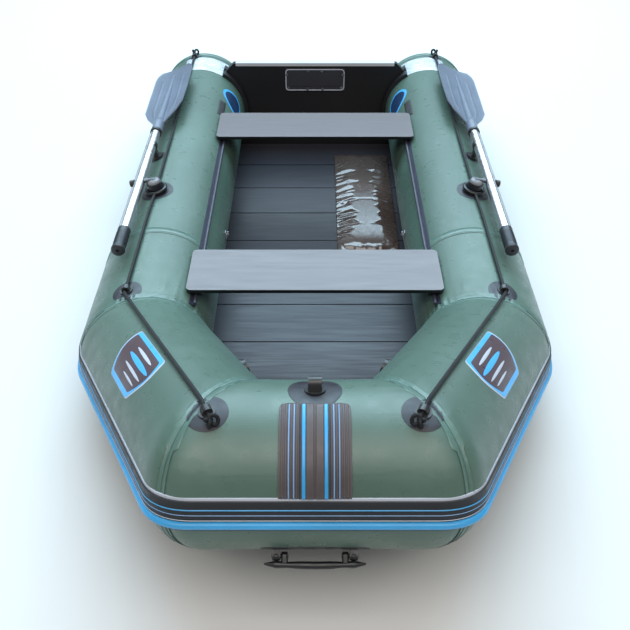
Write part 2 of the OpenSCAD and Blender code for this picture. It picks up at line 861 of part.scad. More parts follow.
// Two channels under a seat, which run on the rails' beads
module seat_slides(station) {
    length = seat_d - 40;
    both_sides() difference() {
        translate(at(bead_x - 16, station - length / 2, bead_z - 9))
            cube([27, length, seat_top - seat_t - seat_gap / 2 - bead_z + 9]);
        rod(at(bead_x, station - length, bead_z), at(bead_x, station + length, bead_z),
            rail_bead_r + seat_gap);
        translate(at(bead_x, station - length, bead_z)) rotate([0, 180 - rail_angle, 0])
            translate([0, 0, -2.5]) cube([60, 2 * length, 5]);
        rod(at(beam_half, station - length, axis_z), at(beam_half, station + length, axis_z),
            tube_r + 4.3);
    }
}
module seat_slides_fore() { color("#2a2b30") seat_slides(seat_fore_station); }
module seat_slides_aft() { color("#2a2b30") seat_slides(seat_aft_station); }

module seat_rails() {
    strip_t = 3;
    color("#a9acb3") both_sides() union() {
        translate(at(beam_half, rail_start, axis_z))
            multmatrix([[1, 0, 0, 0], [0, 0, 1, 0], [0, 1, 0, 0]])
                band_section(tube_r + seat_gap / 2, tube_r + strip_t,
                             rail_angle - 4, rail_angle + 3, rail_len);
        rod(at(bead_x, rail_start, bead_z), at(bead_x, rail_start + rail_len, bead_z),
            rail_bead_r);
        translate(at(bead_x, rail_start, bead_z)) rotate([0, 180 - rail_angle, 0])
            translate([0, 0, -1.5]) cube([bead_h - strip_t + 1, rail_len, 3]);
    }
}

// ---------- carry handle ----------

handle_h = 15;
handle_pin = 27;
module on_handle() {
    on_surface(bow_point(handle_angle, tube_r, 0), bow_dir(handle_angle), [1, 0, 0]) children();
}

module carry_handle_lugs() {
    lug_w = 18;
    lug_r = 9;
    color("#1a1b1f") on_handle() for (side = [-1, 1]) {
        x = side * handle_half;
        translate([x - lug_w / 2, -lug_r, patch_t + 1])
            cube([lug_w, 2 * lug_r, handle_h - patch_t - 1]);
        translate([x - lug_w / 2, 0, handle_h]) rotate([0, 90, 0]) cylinder(r = lug_r, h = lug_w);
        translate([x - (side > 0 ? handle_pin : 0), 0, handle_h]) rotate([0, 90, 0])
            cylinder(r = pin_r, h = handle_pin);
    }
}

// Its legs turn on the lugs' pins, and its bar runs on outboard of them as two wings
module carry_handle_grip() {
    outer = handle_half - 9.5;
    inner = outer - 18;
    wing = handle_half + handle_pin;
    bar_h = 33;
    color("#26272b") on_handle() difference() {
        union() {
            for (side = [-1, 1]) hull() {
                translate([side * (inner + outer) / 2 - (outer - inner) / 2, 0, handle_h])
                    rotate([0, 90, 0]) cylinder(r = 11, h = outer - inner, $fn = 32);
                translate([side * (inner + outer) / 2 - (outer - inner) / 2, 0, bar_h])
                    rotate([0, 90, 0]) cylinder(r = 8.5, h = outer - inner, $fn = 32);
            }
            translate([-wing, 0, bar_h]) rotate([0, 90, 0])
                cylinder(r = 8.5, h = 2 * wing);
        }
        translate([-200, 0, handle_h]) rotate([0, 90, 0])
            cylinder(r = pin_r + running_gap, h = 400);
    }
}

// ---------- inflation valves ----------

valve_angle = 172;
valve_dir = diag_side(valve_angle);
valve_point = diag_point(valve_angle, tube_r, diag_len / 2);
valve_hole_r = 21.3;
valve_neck_r = 19;

module at_valve() {
    on_surface(valve_point, valve_dir, diag_dir) children();
}

module valve_body() {
    at_valve() difference() {
        union() {
            translate([0, 0, 0.4]) cylinder(r = 30, h = 4);
            translate([0, 0, -28]) cylinder(r = 20, h = 30);
            cylinder(r = valve_neck_r, h = 10);
        }
        translate([0, 0, -20]) cylinder(r = 15, h = 30);
        translate([0, 0, -30]) cylinder(r = 3 + running_gap, h = 20);
        for (turn = [0:90:270]) rotate(turn) translate([9.5, 0, -30]) cylinder(r = 3, h = 20);
    }
}
module valve_body_port() { color("#24262a") valve_body(); }
module valve_body_starboard() { color("#24262a") starboard() valve_body(); }

module valve_stem() {
    at_valve() union() {
        translate([0, 0, -34]) cylinder(r = 3, h = 34);
        translate([0, 0, -4]) cylinder(r = 8, h = 5);
        translate([0, 0, -30.5]) cylinder(r = 14, h = 2);
    }
}
module valve_stem_port() { color("#c9b15a") valve_stem(); }
module valve_stem_starboard() { color("#c9b15a") starboard() valve_stem(); }

// Coils of the spring that shuts the valve, as a stack of rings
module valve_spring() {
    wire = 0.7;
    at_valve() for (i = [0:4]) translate([0, 0, -18.8 + i * 3.3])
        rotate_extrude() translate([6, 0]) circle(r = wire, $fn = 16);
}
module valve_spring_port() { color("#b8bcc2") valve_spring(); }
module valve_spring_starboard() { color("#b8bcc2") starboard() valve_spring(); }

module valve_cap() {
    at_valve() difference() {
        translate([0, 0, 4.8]) cylinder(r = 26, h = 10);
        translate([0, 0, 3.8]) cylinder(r = valve_neck_r + seat_gap, h = 8);
    }
}
module valve_cap_port() { color("#1c1d21") valve_cap(); }
module valve_cap_starboard() { color("#1c1d21") starboard() valve_cap(); }

// ---------- loose and small pieces ----------

// The soft pouch that lies on the floor, port side
module floor_pouch() {
    pouch = [250, 780, 30];
    edge = 12;
    pouch_low = slat_z + slat_t + seat_gap;
    color("#4a3f3c") translate(at(84, 1330, pouch_low)) hull()
        for (x = [edge, pouch.x - edge], y = [edge, pouch.y - edge])
            translate([x, y, 0]) cylinder(r = edge, h = pouch.z, $fn = 32);
}

module side_hooks() {
    hook_station = 1192;
    hook_angle = 176;
    color("#8f949b") both_sides()
        on_surface(side_point(hook_angle, tube_r, hook_station), side_dir(hook_angle), [0, 0, 1])
            union() {
                translate([-14, -8, 0.5]) cube([28, 16, 3]);
                translate([-2, -3, 3]) cube([5, 6, 8]);
                translate([-2, -3, 8]) cube([14, 6, 4]);
            }
}

tube_bow();
tube_diagonal_port();
tube_diagonal_starboard();
tube_side_port();
tube_side_starboard();
stern_cone_port();
stern_cone_starboard();
bulkheads();
hull_bottom();
floor_slats();
transom_board();
transom_cap();
transom_holders();
motor_plate_inner();
motor_plate_outer();
motor_plate_bolts();
drain_valve_body();
drain_plug();
strake_bow();
strake_port();
strake_starboard();
bow_wear_strip();
patches();
tow_eye();
bow_eyes();
corner_eyes();
stern_eyes();
oarlock_base_port();
oarlock_base_starboard();
oarlock_swivel_port();
oarlock_swivel_starboard();
oar_pin_port();
oar_pin_starboard();
oar_shaft_port();
oar_shaft_starboard();
oar_blade_port();
oar_blade_starboard();
oar_grip_port();
oar_grip_starboard();
oar_clip_port();
oar_clip_starboard();
seat_board_fore();
seat_board_aft();
seat_slides_fore();
seat_slides_aft();
seat_rails();
carry_handle_lugs();
carry_handle_grip();
grab_line_port();
grab_line_starboard();
valve_body_port();
valve_body_starboard();
valve_stem_port();
valve_stem_starboard();
valve_spring_port();
valve_spring_starboard();
valve_cap_port();
valve_cap_starboard();
floor_pouch();
side_hooks();
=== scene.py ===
"""Looks for the inflatable dinghy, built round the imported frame. Metres, +Z up, bow towards -Y."""
import json
import bmesh
import bpy
import numpy as np
from math import atan2, copysign, cos, degrees, exp, hypot, pi, radians, sin, sqrt
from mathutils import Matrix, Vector, noise
from mathutils.bvhtree import BVHTree

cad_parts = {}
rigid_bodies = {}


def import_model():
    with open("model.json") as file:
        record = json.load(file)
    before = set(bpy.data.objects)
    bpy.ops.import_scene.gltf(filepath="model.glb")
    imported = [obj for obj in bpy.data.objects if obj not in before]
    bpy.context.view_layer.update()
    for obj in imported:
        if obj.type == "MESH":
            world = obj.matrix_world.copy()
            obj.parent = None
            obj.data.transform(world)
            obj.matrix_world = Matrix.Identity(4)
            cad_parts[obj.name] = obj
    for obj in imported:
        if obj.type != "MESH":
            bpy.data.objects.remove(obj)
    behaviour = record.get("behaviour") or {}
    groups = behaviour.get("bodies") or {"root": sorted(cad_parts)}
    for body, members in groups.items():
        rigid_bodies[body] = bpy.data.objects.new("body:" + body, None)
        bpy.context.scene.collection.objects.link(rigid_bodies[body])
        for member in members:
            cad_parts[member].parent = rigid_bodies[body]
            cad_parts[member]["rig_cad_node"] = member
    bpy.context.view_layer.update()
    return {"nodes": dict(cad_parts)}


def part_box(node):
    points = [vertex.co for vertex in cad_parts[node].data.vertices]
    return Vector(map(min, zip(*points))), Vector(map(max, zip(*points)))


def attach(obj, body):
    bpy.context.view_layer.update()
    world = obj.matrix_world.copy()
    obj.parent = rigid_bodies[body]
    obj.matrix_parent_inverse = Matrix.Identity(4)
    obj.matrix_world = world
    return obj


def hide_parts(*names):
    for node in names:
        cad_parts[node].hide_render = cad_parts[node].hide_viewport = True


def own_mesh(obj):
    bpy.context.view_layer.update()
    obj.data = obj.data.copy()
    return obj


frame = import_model()
NODES = frame["nodes"]

# ----- the tubes' sizes, read from the frame -----

R = 0.190
BOW_HALF = 0.216
BEND_STATION = 0.583
SIDE_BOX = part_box("tube_side_port")
BOW_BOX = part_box("tube_bow")
CONE_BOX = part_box("stern_cone_port")
SIDE_X = SIDE_BOX[1][0] - R
AXIS_Z = SIDE_BOX[1][2] - R
BOW_Y = BOW_BOX[0][1] + R
BOW_Z = BOW_BOX[1][2] - R
BEND_Y = BOW_Y + BEND_STATION
CONE_Y = CONE_BOX[0][1]
END_Y = CONE_BOX[1][1]

SIDES = ((1, "port"), (-1, "starboard"))
BOW_EYE_ANGLE = 84
BOW_EYE_X = BOW_HALF + 0.014
CORNER_EYE = (78, BEND_STATION + 0.064)
OARLOCK = (79, 1.205)
STERN_EYE = (79, 2.362)
HANDLE_ANGLE = -34
LOWEST_TAPE = 0.0002
LOWEST_SKIN = 0.0004


def station(s):
    """The y of a station, which is counted aft of the bow tube's axis."""
    return BOW_Y + s


def unit(v):
    v = np.asarray(v, float)
    return v / np.linalg.norm(v)


def circle(count):
    """Angles evenly round a circle, in radians."""
    return [2 * pi * i / count for i in range(count)]


def squarish(t, power):
    """Cosine and sine of t, drawn out towards a rounded square."""
    c = cos(t)
    s = sin(t)
    return copysign(abs(c) ** power, c), copysign(abs(s) ** power, s)


def mirrored(v, sign):
    return (sign * v[0], v[1], v[2])


def mirrored_rows(rows, sign):
    return [[mirrored(p, sign) for p in row] for row in rows]


# ----- camera, first -----

CAMERA_PLACE = (0.0, -2.3836, 1.8245)
CAMERA_DOWN = 40.03
CAMERA_LENS = 45.71


def make_camera():
    data = bpy.data.cameras.new("camera")
    data.sensor_width = 36.0
    data.lens = CAMERA_LENS
    data.clip_end = 60.0
    camera = bpy.data.objects.new("camera", data)
    bpy.context.scene.collection.objects.link(camera)
    camera.location = CAMERA_PLACE
    camera.rotation_euler = (radians(90 - CAMERA_DOWN), 0.0, 0.0)
    bpy.context.scene.camera = camera


make_camera()

# ----- materials -----


def shade(name, colour, rough=0.5, metal=0.0, vary=0.12, grain=900, bump=0.15,
          depth=0.0004, coat=0.0, coat_rough=0.2, sheen=0.0, weave=0.0, stretch=(1, 1, 1),
          wear=0.0, side=None, spec=0.5, blotch=5.0, rough_vary=0.08):
    """A procedural material: blotches of colour, fine grain in bump and roughness, worn edges.

    weave is a cloth's thread spacing in metres, and side the colour of faces that don't look up.
    """
    mat = bpy.data.materials.new(name)
    mat.use_nodes = True
    nodes = mat.node_tree.nodes
    links = mat.node_tree.links
    bsdf = nodes["Principled BSDF"]
    bsdf.inputs["Metallic"].default_value = metal
    bsdf.inputs["Coat Weight"].default_value = coat
    bsdf.inputs["Coat Roughness"].default_value = coat_rough
    bsdf.inputs["Sheen Weight"].default_value = sheen
    bsdf.inputs["Specular IOR Level"].default_value = spec
    place = nodes.new("ShaderNodeTexCoord")
    mapping = nodes.new("ShaderNodeMapping")
    mapping.inputs["Scale"].default_value = stretch
    links.new(place.outputs["Object"], mapping.inputs["Vector"])

    def noise_of(scale, detail=3.0):
        n = nodes.new("ShaderNodeTexNoise")
        n.inputs["Scale"].default_value = scale
        n.inputs["Detail"].default_value = detail
        links.new(mapping.outputs["Vector"], n.inputs["Vector"])
        return n.outputs["Fac"]

    def remap(source, a, b, c, d):
        m = nodes.new("ShaderNodeMapRange")
        for key, value in zip(("From Min", "From Max", "To Min", "To Max"), (a, b, c, d)):
            m.inputs[key].default_value = value
        links.new(source, m.inputs["Value"])
        return m.outputs["Result"]

    def mix(fac, a, b):
        m = nodes.new("ShaderNodeMix")
        m.data_type = "RGBA"
        links.new(fac, m.inputs["Factor"])
        for key, value in ((6, a), (7, b)):
            if isinstance(value, tuple):
                m.inputs[key].default_value = (*value, 1.0)
            else:
                links.new(value, m.inputs[key])
        return m.outputs[2]

    light = tuple(min(1.0, c * (1 + vary)) for c in colour)
    dark = tuple(c * (1 - vary) for c in colour)
    out = mix(remap(noise_of(blotch, 4.0), 0.3, 0.7, 0.0, 1.0), dark, light)
    fine = noise_of(grain)
    if wear > 0:
        geo = nodes.new("ShaderNodeNewGeometry")
        edge = remap(geo.outputs["Pointiness"], 0.52, 0.60, 0.0, wear)
        out = mix(edge, out, tuple(min(1.0, c * 1.6 + 0.06) for c in colour))
    if side:
        split = nodes.new("ShaderNodeSeparateXYZ")
        links.new(place.outputs["Normal"], split.inputs["Vector"])
        out = mix(remap(split.outputs["Z"], 0.35, 0.6, 0.0, 1.0), side, out)
    links.new(out, bsdf.inputs["Base Color"])
    links.new(remap(noise_of(blotch * 9), 0.3, 0.7, rough - rough_vary, rough + rough_vary),
              bsdf.inputs["Roughness"])
    height = fine
    if weave > 0:
        for turn in ("X", "Y", "Z"):
            wave = nodes.new("ShaderNodeTexWave")
            wave.bands_direction = turn
            wave.inputs["Scale"].default_value = 0.5 / weave
            links.new(place.outputs["Object"], wave.inputs["Vector"])
            add = nodes.new("ShaderNodeMath")
            add.operation = "ADD"
            links.new(height, add.inputs[0])
            links.new(wave.outputs["Fac"], add.inputs[1])
            height = add.outputs[0]
    bumps = nodes.new("ShaderNodeBump")
    bumps.inputs["Strength"].default_value = bump
    bumps.inputs["Distance"].default_value = depth
    links.new(height, bumps.inputs["Height"])
    links.new(bumps.outputs["Normal"], bsdf.inputs["Normal"])
    return mat


FABRIC = shade("hull_fabric", (0.078, 0.132, 0.106), 0.33, grain=1300, bump=0.2,
               depth=0.0003, weave=0.0016, spec=0.45, blotch=3.0)
TAPE = shade("seam_tape", (0.084, 0.150, 0.124), 0.34, vary=0.08, grain=1500, bump=0.2,
             depth=0.0002, weave=0.0016, spec=0.6)
# Painted highlight: SHEEN is a light green-grey that stands in for the light caught by the raised
# edges of the welded seams.
SHEEN = shade("seam_edge", (0.15, 0.25, 0.24), 0.30, vary=0.08)
CONE = shade("cone_fabric", (0.078, 0.140, 0.114), 0.42, grain=1300, bump=0.2, depth=0.0003,
             weave=0.0016)
BOTTOM = shade("bottom_fabric", (0.018, 0.024, 0.026), 0.45, grain=1300, bump=0.2,
               weave=0.0016)
PATCH = shade("patch_fabric", (0.014, 0.013, 0.020), 0.42, grain=1500, bump=0.2,
              depth=0.0003, weave=0.0012)
RAIL = shade("rail_strip", (0.034, 0.034, 0.056), 0.42, grain=1500, bump=0.2, weave=0.0012)
SILVER = shade("silver_patch", (0.62, 0.66, 0.72), 0.30, metal=0.5, vary=0.2, grain=300,
               bump=0.5, depth=0.002, blotch=25)
RUBBER = shade("strake_rubber", (0.008, 0.0085, 0.012), vary=0.2, grain=1200, bump=0.3, wear=0.3)
BLUE = shade("strake_blue", (0.040, 0.31, 0.62), 0.38, grain=1000, bump=0.2, coat=0.1,
             wear=0.15)
PALE_BLUE = shade("pale_blue_line", (0.20, 0.38, 0.66), 0.4, vary=0.1)
PALE = shade("pale_line", (0.45, 0.48, 0.55), 0.4, vary=0.1)
NAVY = shade("navy_trim", (0.010, 0.030, 0.085), 0.36, grain=1200, coat=0.2)
RIBBED = shade("wear_rubber", (0.075, 0.06, 0.062), vary=0.18, bump=0.35, wear=0.3)
EMBLEM = shade("emblem_fill", (0.075, 0.045, 0.055), 0.35, coat=0.2)
CYAN = shade("emblem_line", (0.06, 0.38, 0.76), 0.35, vary=0.08, coat=0.2)
PLY = shade("seat_ply", (0.100, 0.080, 0.086), 0.38, vary=0.05, grain=260, bump=0.06,
            stretch=(0.05, 1, 1), coat=0.15, coat_rough=0.25, blotch=18,
            side=(0.004, 0.004, 0.005))
ALUMINIUM = shade("oar_aluminium", (0.80, 0.81, 0.84), 0.28, metal=1.0, vary=0.05, bump=0.08,
                  stretch=(1, 0.02, 1), rough_vary=0.06)
BLADE = shade("blade_plastic", (0.135, 0.16, 0.215), 0.38, vary=0.1, grain=1400, bump=0.2,
              wear=0.35)
GREY = shade("grey_plastic", (0.20, 0.205, 0.225), 0.42, vary=0.1, grain=1400, bump=0.25,
             wear=0.35)
DARK_GREY = shade("grey_arm", (0.055, 0.057, 0.068), 0.40, vary=0.1, grain=1400, bump=0.25)
BLACK = shade("black_plastic", (0.007, 0.007, 0.008), 0.38, vary=0.2, grain=1400, bump=0.25,
              wear=0.25)
GRIP = shade("grip_rubber", (0.020, 0.022, 0.028), 0.42, vary=0.2, grain=700, bump=0.4,
             wear=0.2)
ROPE = shade("rope", (0.007, 0.007, 0.009), 0.6, vary=0.3, grain=2500, bump=0.5,
             depth=0.0006, sheen=0.05, blotch=60, spec=0.3)
BOARD = shade("floor_board", (0.017, 0.0165, 0.024), 0.46, vary=0.08, grain=220, bump=0.1,
              stretch=(0.06, 1, 1), spec=0.35, blotch=12, wear=0.2)
TRANSOM = shade("transom_board", (0.0045, 0.0045, 0.006), 0.38, vary=0.2, grain=260,
                bump=0.1, stretch=(0.06, 1, 1), coat=0.05, wear=0.2, spec=0.3)
PROFILE = shade("light_profile", (0.50, 0.52, 0.56), 0.38, vary=0.06, wear=0.1)
PLATE = shade("motor_plate", (0.014, 0.014, 0.022), 0.45, vary=0.15, grain=1800, bump=0.5,
              depth=0.0005, wear=0.35)
STEEL = shade("steel", (0.55, 0.56, 0.58), 0.28, metal=1.0, vary=0.06)
BRASS = shade("brass", (0.60, 0.45, 0.18), 0.28, metal=1.0, vary=0.08)
FILM = shade("pouch_film", (0.085, 0.060, 0.052), 0.22, vary=0.15, grain=120, bump=0.2,
             depth=0.001, coat=0.5, coat_rough=0.12, blotch=7, spec=0.6)
LINER = shade("holder_fabric", (0.014, 0.014, 0.017), vary=0.2, grain=1500, bump=0.3, weave=0.0014)
FLOOR = shade("studio_floor", (0.62, 0.61, 0.60), 0.75, vary=0.01, grain=40, bump=0.02,
              blotch=0.4)

# ----- mesh helpers -----


def piece(name, verts, faces, mat, body="hull", nodes=()):
    """A mesh piece in the row frame that rides on a body and may stand for CAD nodes."""
    mesh = bpy.data.meshes.new(name)
    mesh.from_pydata([tuple(map(float, v)) for v in verts], [], [tuple(f) for f in faces])
    bm = bmesh.new()
    bm.from_mesh(mesh)
    bmesh.ops.recalc_face_normals(bm, faces=bm.faces[:])
    bm.to_mesh(mesh)
    bm.free()
    for poly in mesh.polygons:
        poly.use_smooth = True
    mesh.materials.append(mat)
    obj = bpy.data.objects.new(name, mesh)
    bpy.context.scene.collection.objects.link(obj)
    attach(obj, body)
    if nodes:
        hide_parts(*nodes)
    return obj


def grid(rows, wrap_rows=False, wrap_cols=False, cap=False):
    """Vertices and faces of a grid of points; rows and columns may close on themselves."""
    rows = [list(r) for r in rows]
    n = len(rows)
    m = len(rows[0])
    verts = [p for r in rows for p in r]
    faces = []
    for i in range(n if wrap_rows else n - 1):
        for j in range(m if wrap_cols else m - 1):
            a = i * m + j
            b = i * m + (j + 1) % m
            k = ((i + 1) % n) * m
            faces.append((a, b, k + (j + 1) % m, k + j))
    if cap and wrap_cols:
        faces.append(tuple(range(m - 1, -1, -1)))
        faces.append(tuple((n - 1) * m + j for j in range(m)))
    if cap and wrap_rows:
        faces.append(tuple(i * m for i in range(n)))
        faces.append(tuple(i * m + m - 1 for i in range(n - 1, -1, -1)))
    return verts, faces


def loft(name, rows, mat, body="hull", nodes=(), sharp=None):
    """A closed piece from rings of points, with sharp edges above an angle if one is given."""
    verts, faces = grid(rows, wrap_cols=True, cap=True)
    obj = piece(name, verts, faces, mat, body, nodes)
    return crease(obj, sharp) if sharp else obj


def hoop(name, rows, mat, nodes=(), cap=False):
    """A piece whose lines of points go round it and close on the first."""
    verts, faces = grid(rows, wrap_rows=True, cap=cap)
    return piece(name, verts, faces, mat, nodes=nodes)


def crease(obj, angle, width=0.0):
    """Sharp edges above an angle, and a small bevel when width is set."""
    if width > 0:
        bevel = obj.modifiers.new("bevel", "BEVEL")
        bevel.width = width
        bevel.segments = 2
        bevel.limit_method = "ANGLE"
        bevel.angle_limit = radians(angle)
    mesh = obj.data
    if "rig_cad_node" not in obj:
        bm = bmesh.new()
        bm.from_mesh(mesh)
        for edge in bm.edges:
            if len(edge.link_faces) == 2:
                edge.smooth = edge.calc_face_angle(0.0) < radians(angle)
        bm.to_mesh(mesh)
        bm.free()
    return obj


# ----- the run of the tubes -----

AXIS = [np.array(p) for p in (
    (SIDE_X, CONE_Y, AXIS_Z), (SIDE_X, BEND_Y, AXIS_Z), (BOW_HALF, BOW_Y, BOW_Z),
    (-BOW_HALF, BOW_Y, BOW_Z), (-SIDE_X, BEND_Y, AXIS_Z), (-SIDE_X, CONE_Y, AXIS_Z))]
DIRS = [unit(AXIS[i + 1] - AXIS[i]) for i in range(5)]
OUT = [unit((-d[1], d[0], 0.0)) for d in DIRS]
UP = [np.cross(d, o) for d, o in zip(DIRS, OUT)]


def frame_angle(v, k):
    return degrees(atan2(np.dot(v, UP[k]), np.dot(v, OUT[k])))


def turn_between(k, c):
    """How far a line's angle turns from tube k's frame to its neighbour c's."""
    v = np.cross(DIRS[k], DIRS[c])
    return (frame_angle(v, c) - frame_angle(v, k) + 180.0) % 360.0 - 180.0


DIAG_TURN = turn_between(2, 1)
SIDE_TURN = DIAG_TURN + turn_between(1, 0)
TURNS = [SIDE_TURN, DIAG_TURN, 0.0, DIAG_TURN, SIDE_TURN]
CURVE_STEPS = 12
NEAR_STEPS = 18
MIDDLE_STEPS = [60, 16, 10, 16, 60]


def radial(k, angle):
    a = radians(angle)
    return cos(a) * OUT[k] + sin(a) * UP[k]


def line_dir(k, angle):
    """Where a line that runs round the bends lies on tube k; angle is counted on the bow tube."""
    return radial(k, angle + TURNS[k])


def corner_hit(c, k, angle, r):
    """Where tube k's line at this angle meets the mitre at corner c."""
    normal = DIRS[c - 1] + DIRS[c]
    start = AXIS[c] + r * line_dir(k, angle)
    slide = -np.dot(r * line_dir(k, angle), normal) / np.dot(DIRS[k], normal)
    return start + slide * DIRS[k]


def outerness(c, angle):
    """1 on the outside of corner c, -1 on its inside."""
    outer = unit(DIRS[c - 1] - DIRS[c])
    mean = unit(line_dir(c - 1, angle) + line_dir(c, angle))
    return float(np.dot(mean, outer))


def trim(c, angle):
    return 0.010 + 0.055 * max(0.0, outerness(c, angle) + 0.25) ** 1.3


def run(angle, r, ends=(0.0, 0.0)):
    """One line along all five tubes: its points, and (corner, distance past it) of each."""
    points = []
    marks = []
    for k in range(5):
        first = AXIS[k] + r * line_dir(k, angle)
        if k > 0:
            first = corner_hit(k, k, angle, r) + trim(k, angle) * DIRS[k]
        else:
            first = first + ends[0] * DIRS[0]
        if k < 4:
            last = corner_hit(k + 1, k, angle, r) - trim(k + 1, angle) * DIRS[k]
        else:
            last = AXIS[5] + r * line_dir(4, angle) - ends[1] * DIRS[4]
        length = float(np.dot(last - first, DIRS[k]))
        near = min(0.09, 0.42 * length)
        steps = [near * i / NEAR_STEPS for i in range(NEAR_STEPS)]
        inner = length - 2 * near
        count = MIDDLE_STEPS[k]
        steps += [near + inner * i / count for i in range(count)]
        steps += [length - near + near * i / NEAR_STEPS for i in range(NEAR_STEPS + 1)]
        for s in steps:
            points.append(first + s * DIRS[k])
            if k == 0 or (k < 4 and s > length / 2):
                marks.append((k + 1, s - length - trim(k + 1, angle)))
            else:
                marks.append((k, s + trim(k, angle)))
        if k < 4:
            c = k + 1
            reach = trim(c, angle)
            middle = (corner_hit(c, k, angle, r) + corner_hit(c, c, angle, r)) / 2
            after = corner_hit(c, c, angle, r) + reach * DIRS[c]
            for i in range(1, CURVE_STEPS):
                t = i / CURVE_STEPS
                points.append((1 - t) ** 2 * last + 2 * t * (1 - t) * middle + t * t * after)
                marks.append((c, (2 * t - 1) * reach))
    return np.array(points), marks


def fold(angle, mark, point):
    """How far the inflated fabric stands off a true cylinder near a seam, in metres."""
    c, s = mark
    inner = max(0.0, -outerness(c, angle))
    away = abs(s)
    pinch = -0.0022 * exp(-(s / 0.012) ** 2)
    belly = 0.0012 * exp(-((away - 0.05) / 0.03) ** 2)
    wave = noise.noise(Vector((angle * 0.16, c * 7.0, s * 5.0)))
    pucker = (abs(wave) - 0.22) * 0.012 * exp(-away / 0.055)
    pucker *= 0.18 + 0.82 * inner ** 1.2
    slow = 0.0009 * noise.noise(Vector(point) * 4.0)
    return pinch + belly + pucker + slow


ANGLES = [360.0 * i / 180 for i in range(180)]
OUTWARD_STEP = 0.01


def skin_line(angle):
    """A line along the tubes, the way out from them at each point, and the marks of run()."""
    base, marks = run(angle, R)
    above, _ = run(angle, R + OUTWARD_STEP)
    return base, (above - base) / OUTWARD_STEP, marks


def make_tubes():
    rows = []
    for angle in ANGLES:
        base, outward, marks = skin_line(angle)
        row = []
        for j, mark in enumerate(marks):
            p = base[j] + outward[j] * fold(angle, mark, base[j])
            p[2] = max(p[2], LOWEST_SKIN)
            row.append(p)
        rows.append(row)
    return hoop("air_tubes", rows, FABRIC, (
        "tube_bow", "tube_diagonal_port", "tube_diagonal_starboard", "tube_side_port",
        "tube_side_starboard"))


tubes = make_tubes()


def tree_of(obj):
    bm = bmesh.new()
    bm.from_mesh(obj.data)
    tree = BVHTree.FromBMesh(bm)
    bm.free()
    return tree


HULL_TREE = tree_of(tubes)


def seam_tape(c, half, lift, name, mat):
    """A welded tape over the mitre at corner c, with square edges."""
    rows = []
    for angle in ANGLES:
        base, outward, marks = skin_line(angle)
        inside = [j for j, m in enumerate(marks) if m[0] == c and abs(m[1]) <= half]
        where = [marks[j][1] for j in inside]
        row = []
        for s in np.linspace(-half, half, 17):
            p = np.array([np.interp(s, where, base[inside, i]) for i in range(3)])
            o = np.array([np.interp(s, where, outward[inside, i]) for i in range(3)])
            up = lift * min(1.0, (half - abs(s)) / 0.0015 + 0.05)
            p = p + o * (fold(angle, (c, s), p) + up)
            p[2] = max(p[2], LOWEST_TAPE)
            row.append(p)
        rows.append(row)
    return hoop(name, rows, mat)


for corner, label in ((1, "bend_port"), (2, "bow_port"), (3, "bow_starboard"),
                      (4, "bend_starboard")):
    seam_tape(corner, 0.021, 0.0012, f"seam_{label}", TAPE)
    # The ridge along each mitre seam wears SHEEN, a painted highlight.
    seam_tape(corner, 0.0030, 0.0024, f"seam_ridge_highlight_{label}", SHEEN)


def ring_tape(name, sign, s, half, lift, mat):
    """A straight welded ring round a side tube."""
    rows = []
    for a in circle(128):
        row = []
        for off, up in ((-half, 0.0), (-half + 0.0008, lift), (0.0, lift * 1.1),
                        (half - 0.0008, lift), (half, 0.0)):
            r = R + up + 0.0004
            row.append((sign * (SIDE_X + r * cos(a)), station(s) + off,
                        max(AXIS_Z + r * sin(a), LOWEST_TAPE)))
        rows.append(row)
    return hoop(name, rows, mat)


for sign, side in SIDES:
    for label, s, half in (("ring_seam", 0.960, 0.014), ("ring_edge_highlight_fore", 0.946, 0.0016),
                           ("ring_edge_highlight_aft", 0.974, 0.0012), ("stern_seam", 2.392, 0.012),
                           ("stern_edge_highlight", 2.380, 0.0012)):
        # The thin edge rings wear SHEEN, a painted highlight on the raised edges of the welded
        # rings.
        look = (0.0012, TAPE) if "seam" in label else (0.0017, SHEEN)
        ring_tape(f"{label}_{side}", sign, s, half, *look)


def make_cone(sign, side):
    """The stern cone, with softly inflated edges and a sewn end disc."""
    length = END_Y - CONE_Y
    end_r = 0.105
    profile = []
    for i in range(30):
        t = i / 29
        r = R + (end_r - R) * t + 0.004 * sin(pi * t)
        profile.append((t * (length - 0.012), r))
    for i in range(1, 9):
        a = pi / 2 * i / 8
        profile.append((length - 0.012 + 0.012 * sin(a), end_r - 0.012 * (1 - cos(a))))
    for r in (0.07, 0.045, 0.02, 0.0005):
        profile.append((length, r))
    rows = []
    for y, r in profile:
        row = []
        for a in circle(128):
            crumple = 0.0012 * noise.noise(Vector((cos(a) * 4, sin(a) * 4, y * 18)))
            row.append((sign * (SIDE_X + (r + crumple) * cos(a)), CONE_Y + y,
                        max(AXIS_Z + (r + crumple) * sin(a), LOWEST_SKIN)))
        rows.append(row)
    verts, faces = grid(rows, wrap_cols=True)
    faces.append(tuple((len(rows) - 1) * 128 + j for j in range(128)))
    return piece(f"cone_{side}", verts, faces, CONE, nodes=(f"stern_cone_{side}",))


for sign, side in SIDES:
    make_cone(sign, side)

# ----- strake -----


def sweep(name, profile, mat, nodes=(), sharp=None):
    """A closed profile of (angle, lift) swept along all five tubes."""
    rows = []
    for angle, lift in profile:
        line, _ = run(angle, R + lift, (0.001, 0.001))
        rows.append(list(line))
    obj = hoop(name, rows, mat, nodes, True)
    return crease(obj, sharp) if sharp else obj


def flat_profile(low, high, bottom, top, steps):
    edge = degrees(0.0012 / R)
    inner = [(low + (high - low) * i / steps, bottom) for i in range(steps, -1, -1)]
    outer = [(low, top - 0.0012), (low + edge, top)]
    outer += [(low + (high - low) * i / steps, top) for i in range(1, steps)]
    outer += [(high - edge, top), (high, top - 0.0012)]
    return outer + inner


def round_profile(angle, rise, r, count=20):
    return [(angle + degrees(r * sin(a) / (R + rise)), rise + r * cos(a))
            for a in circle(count)]


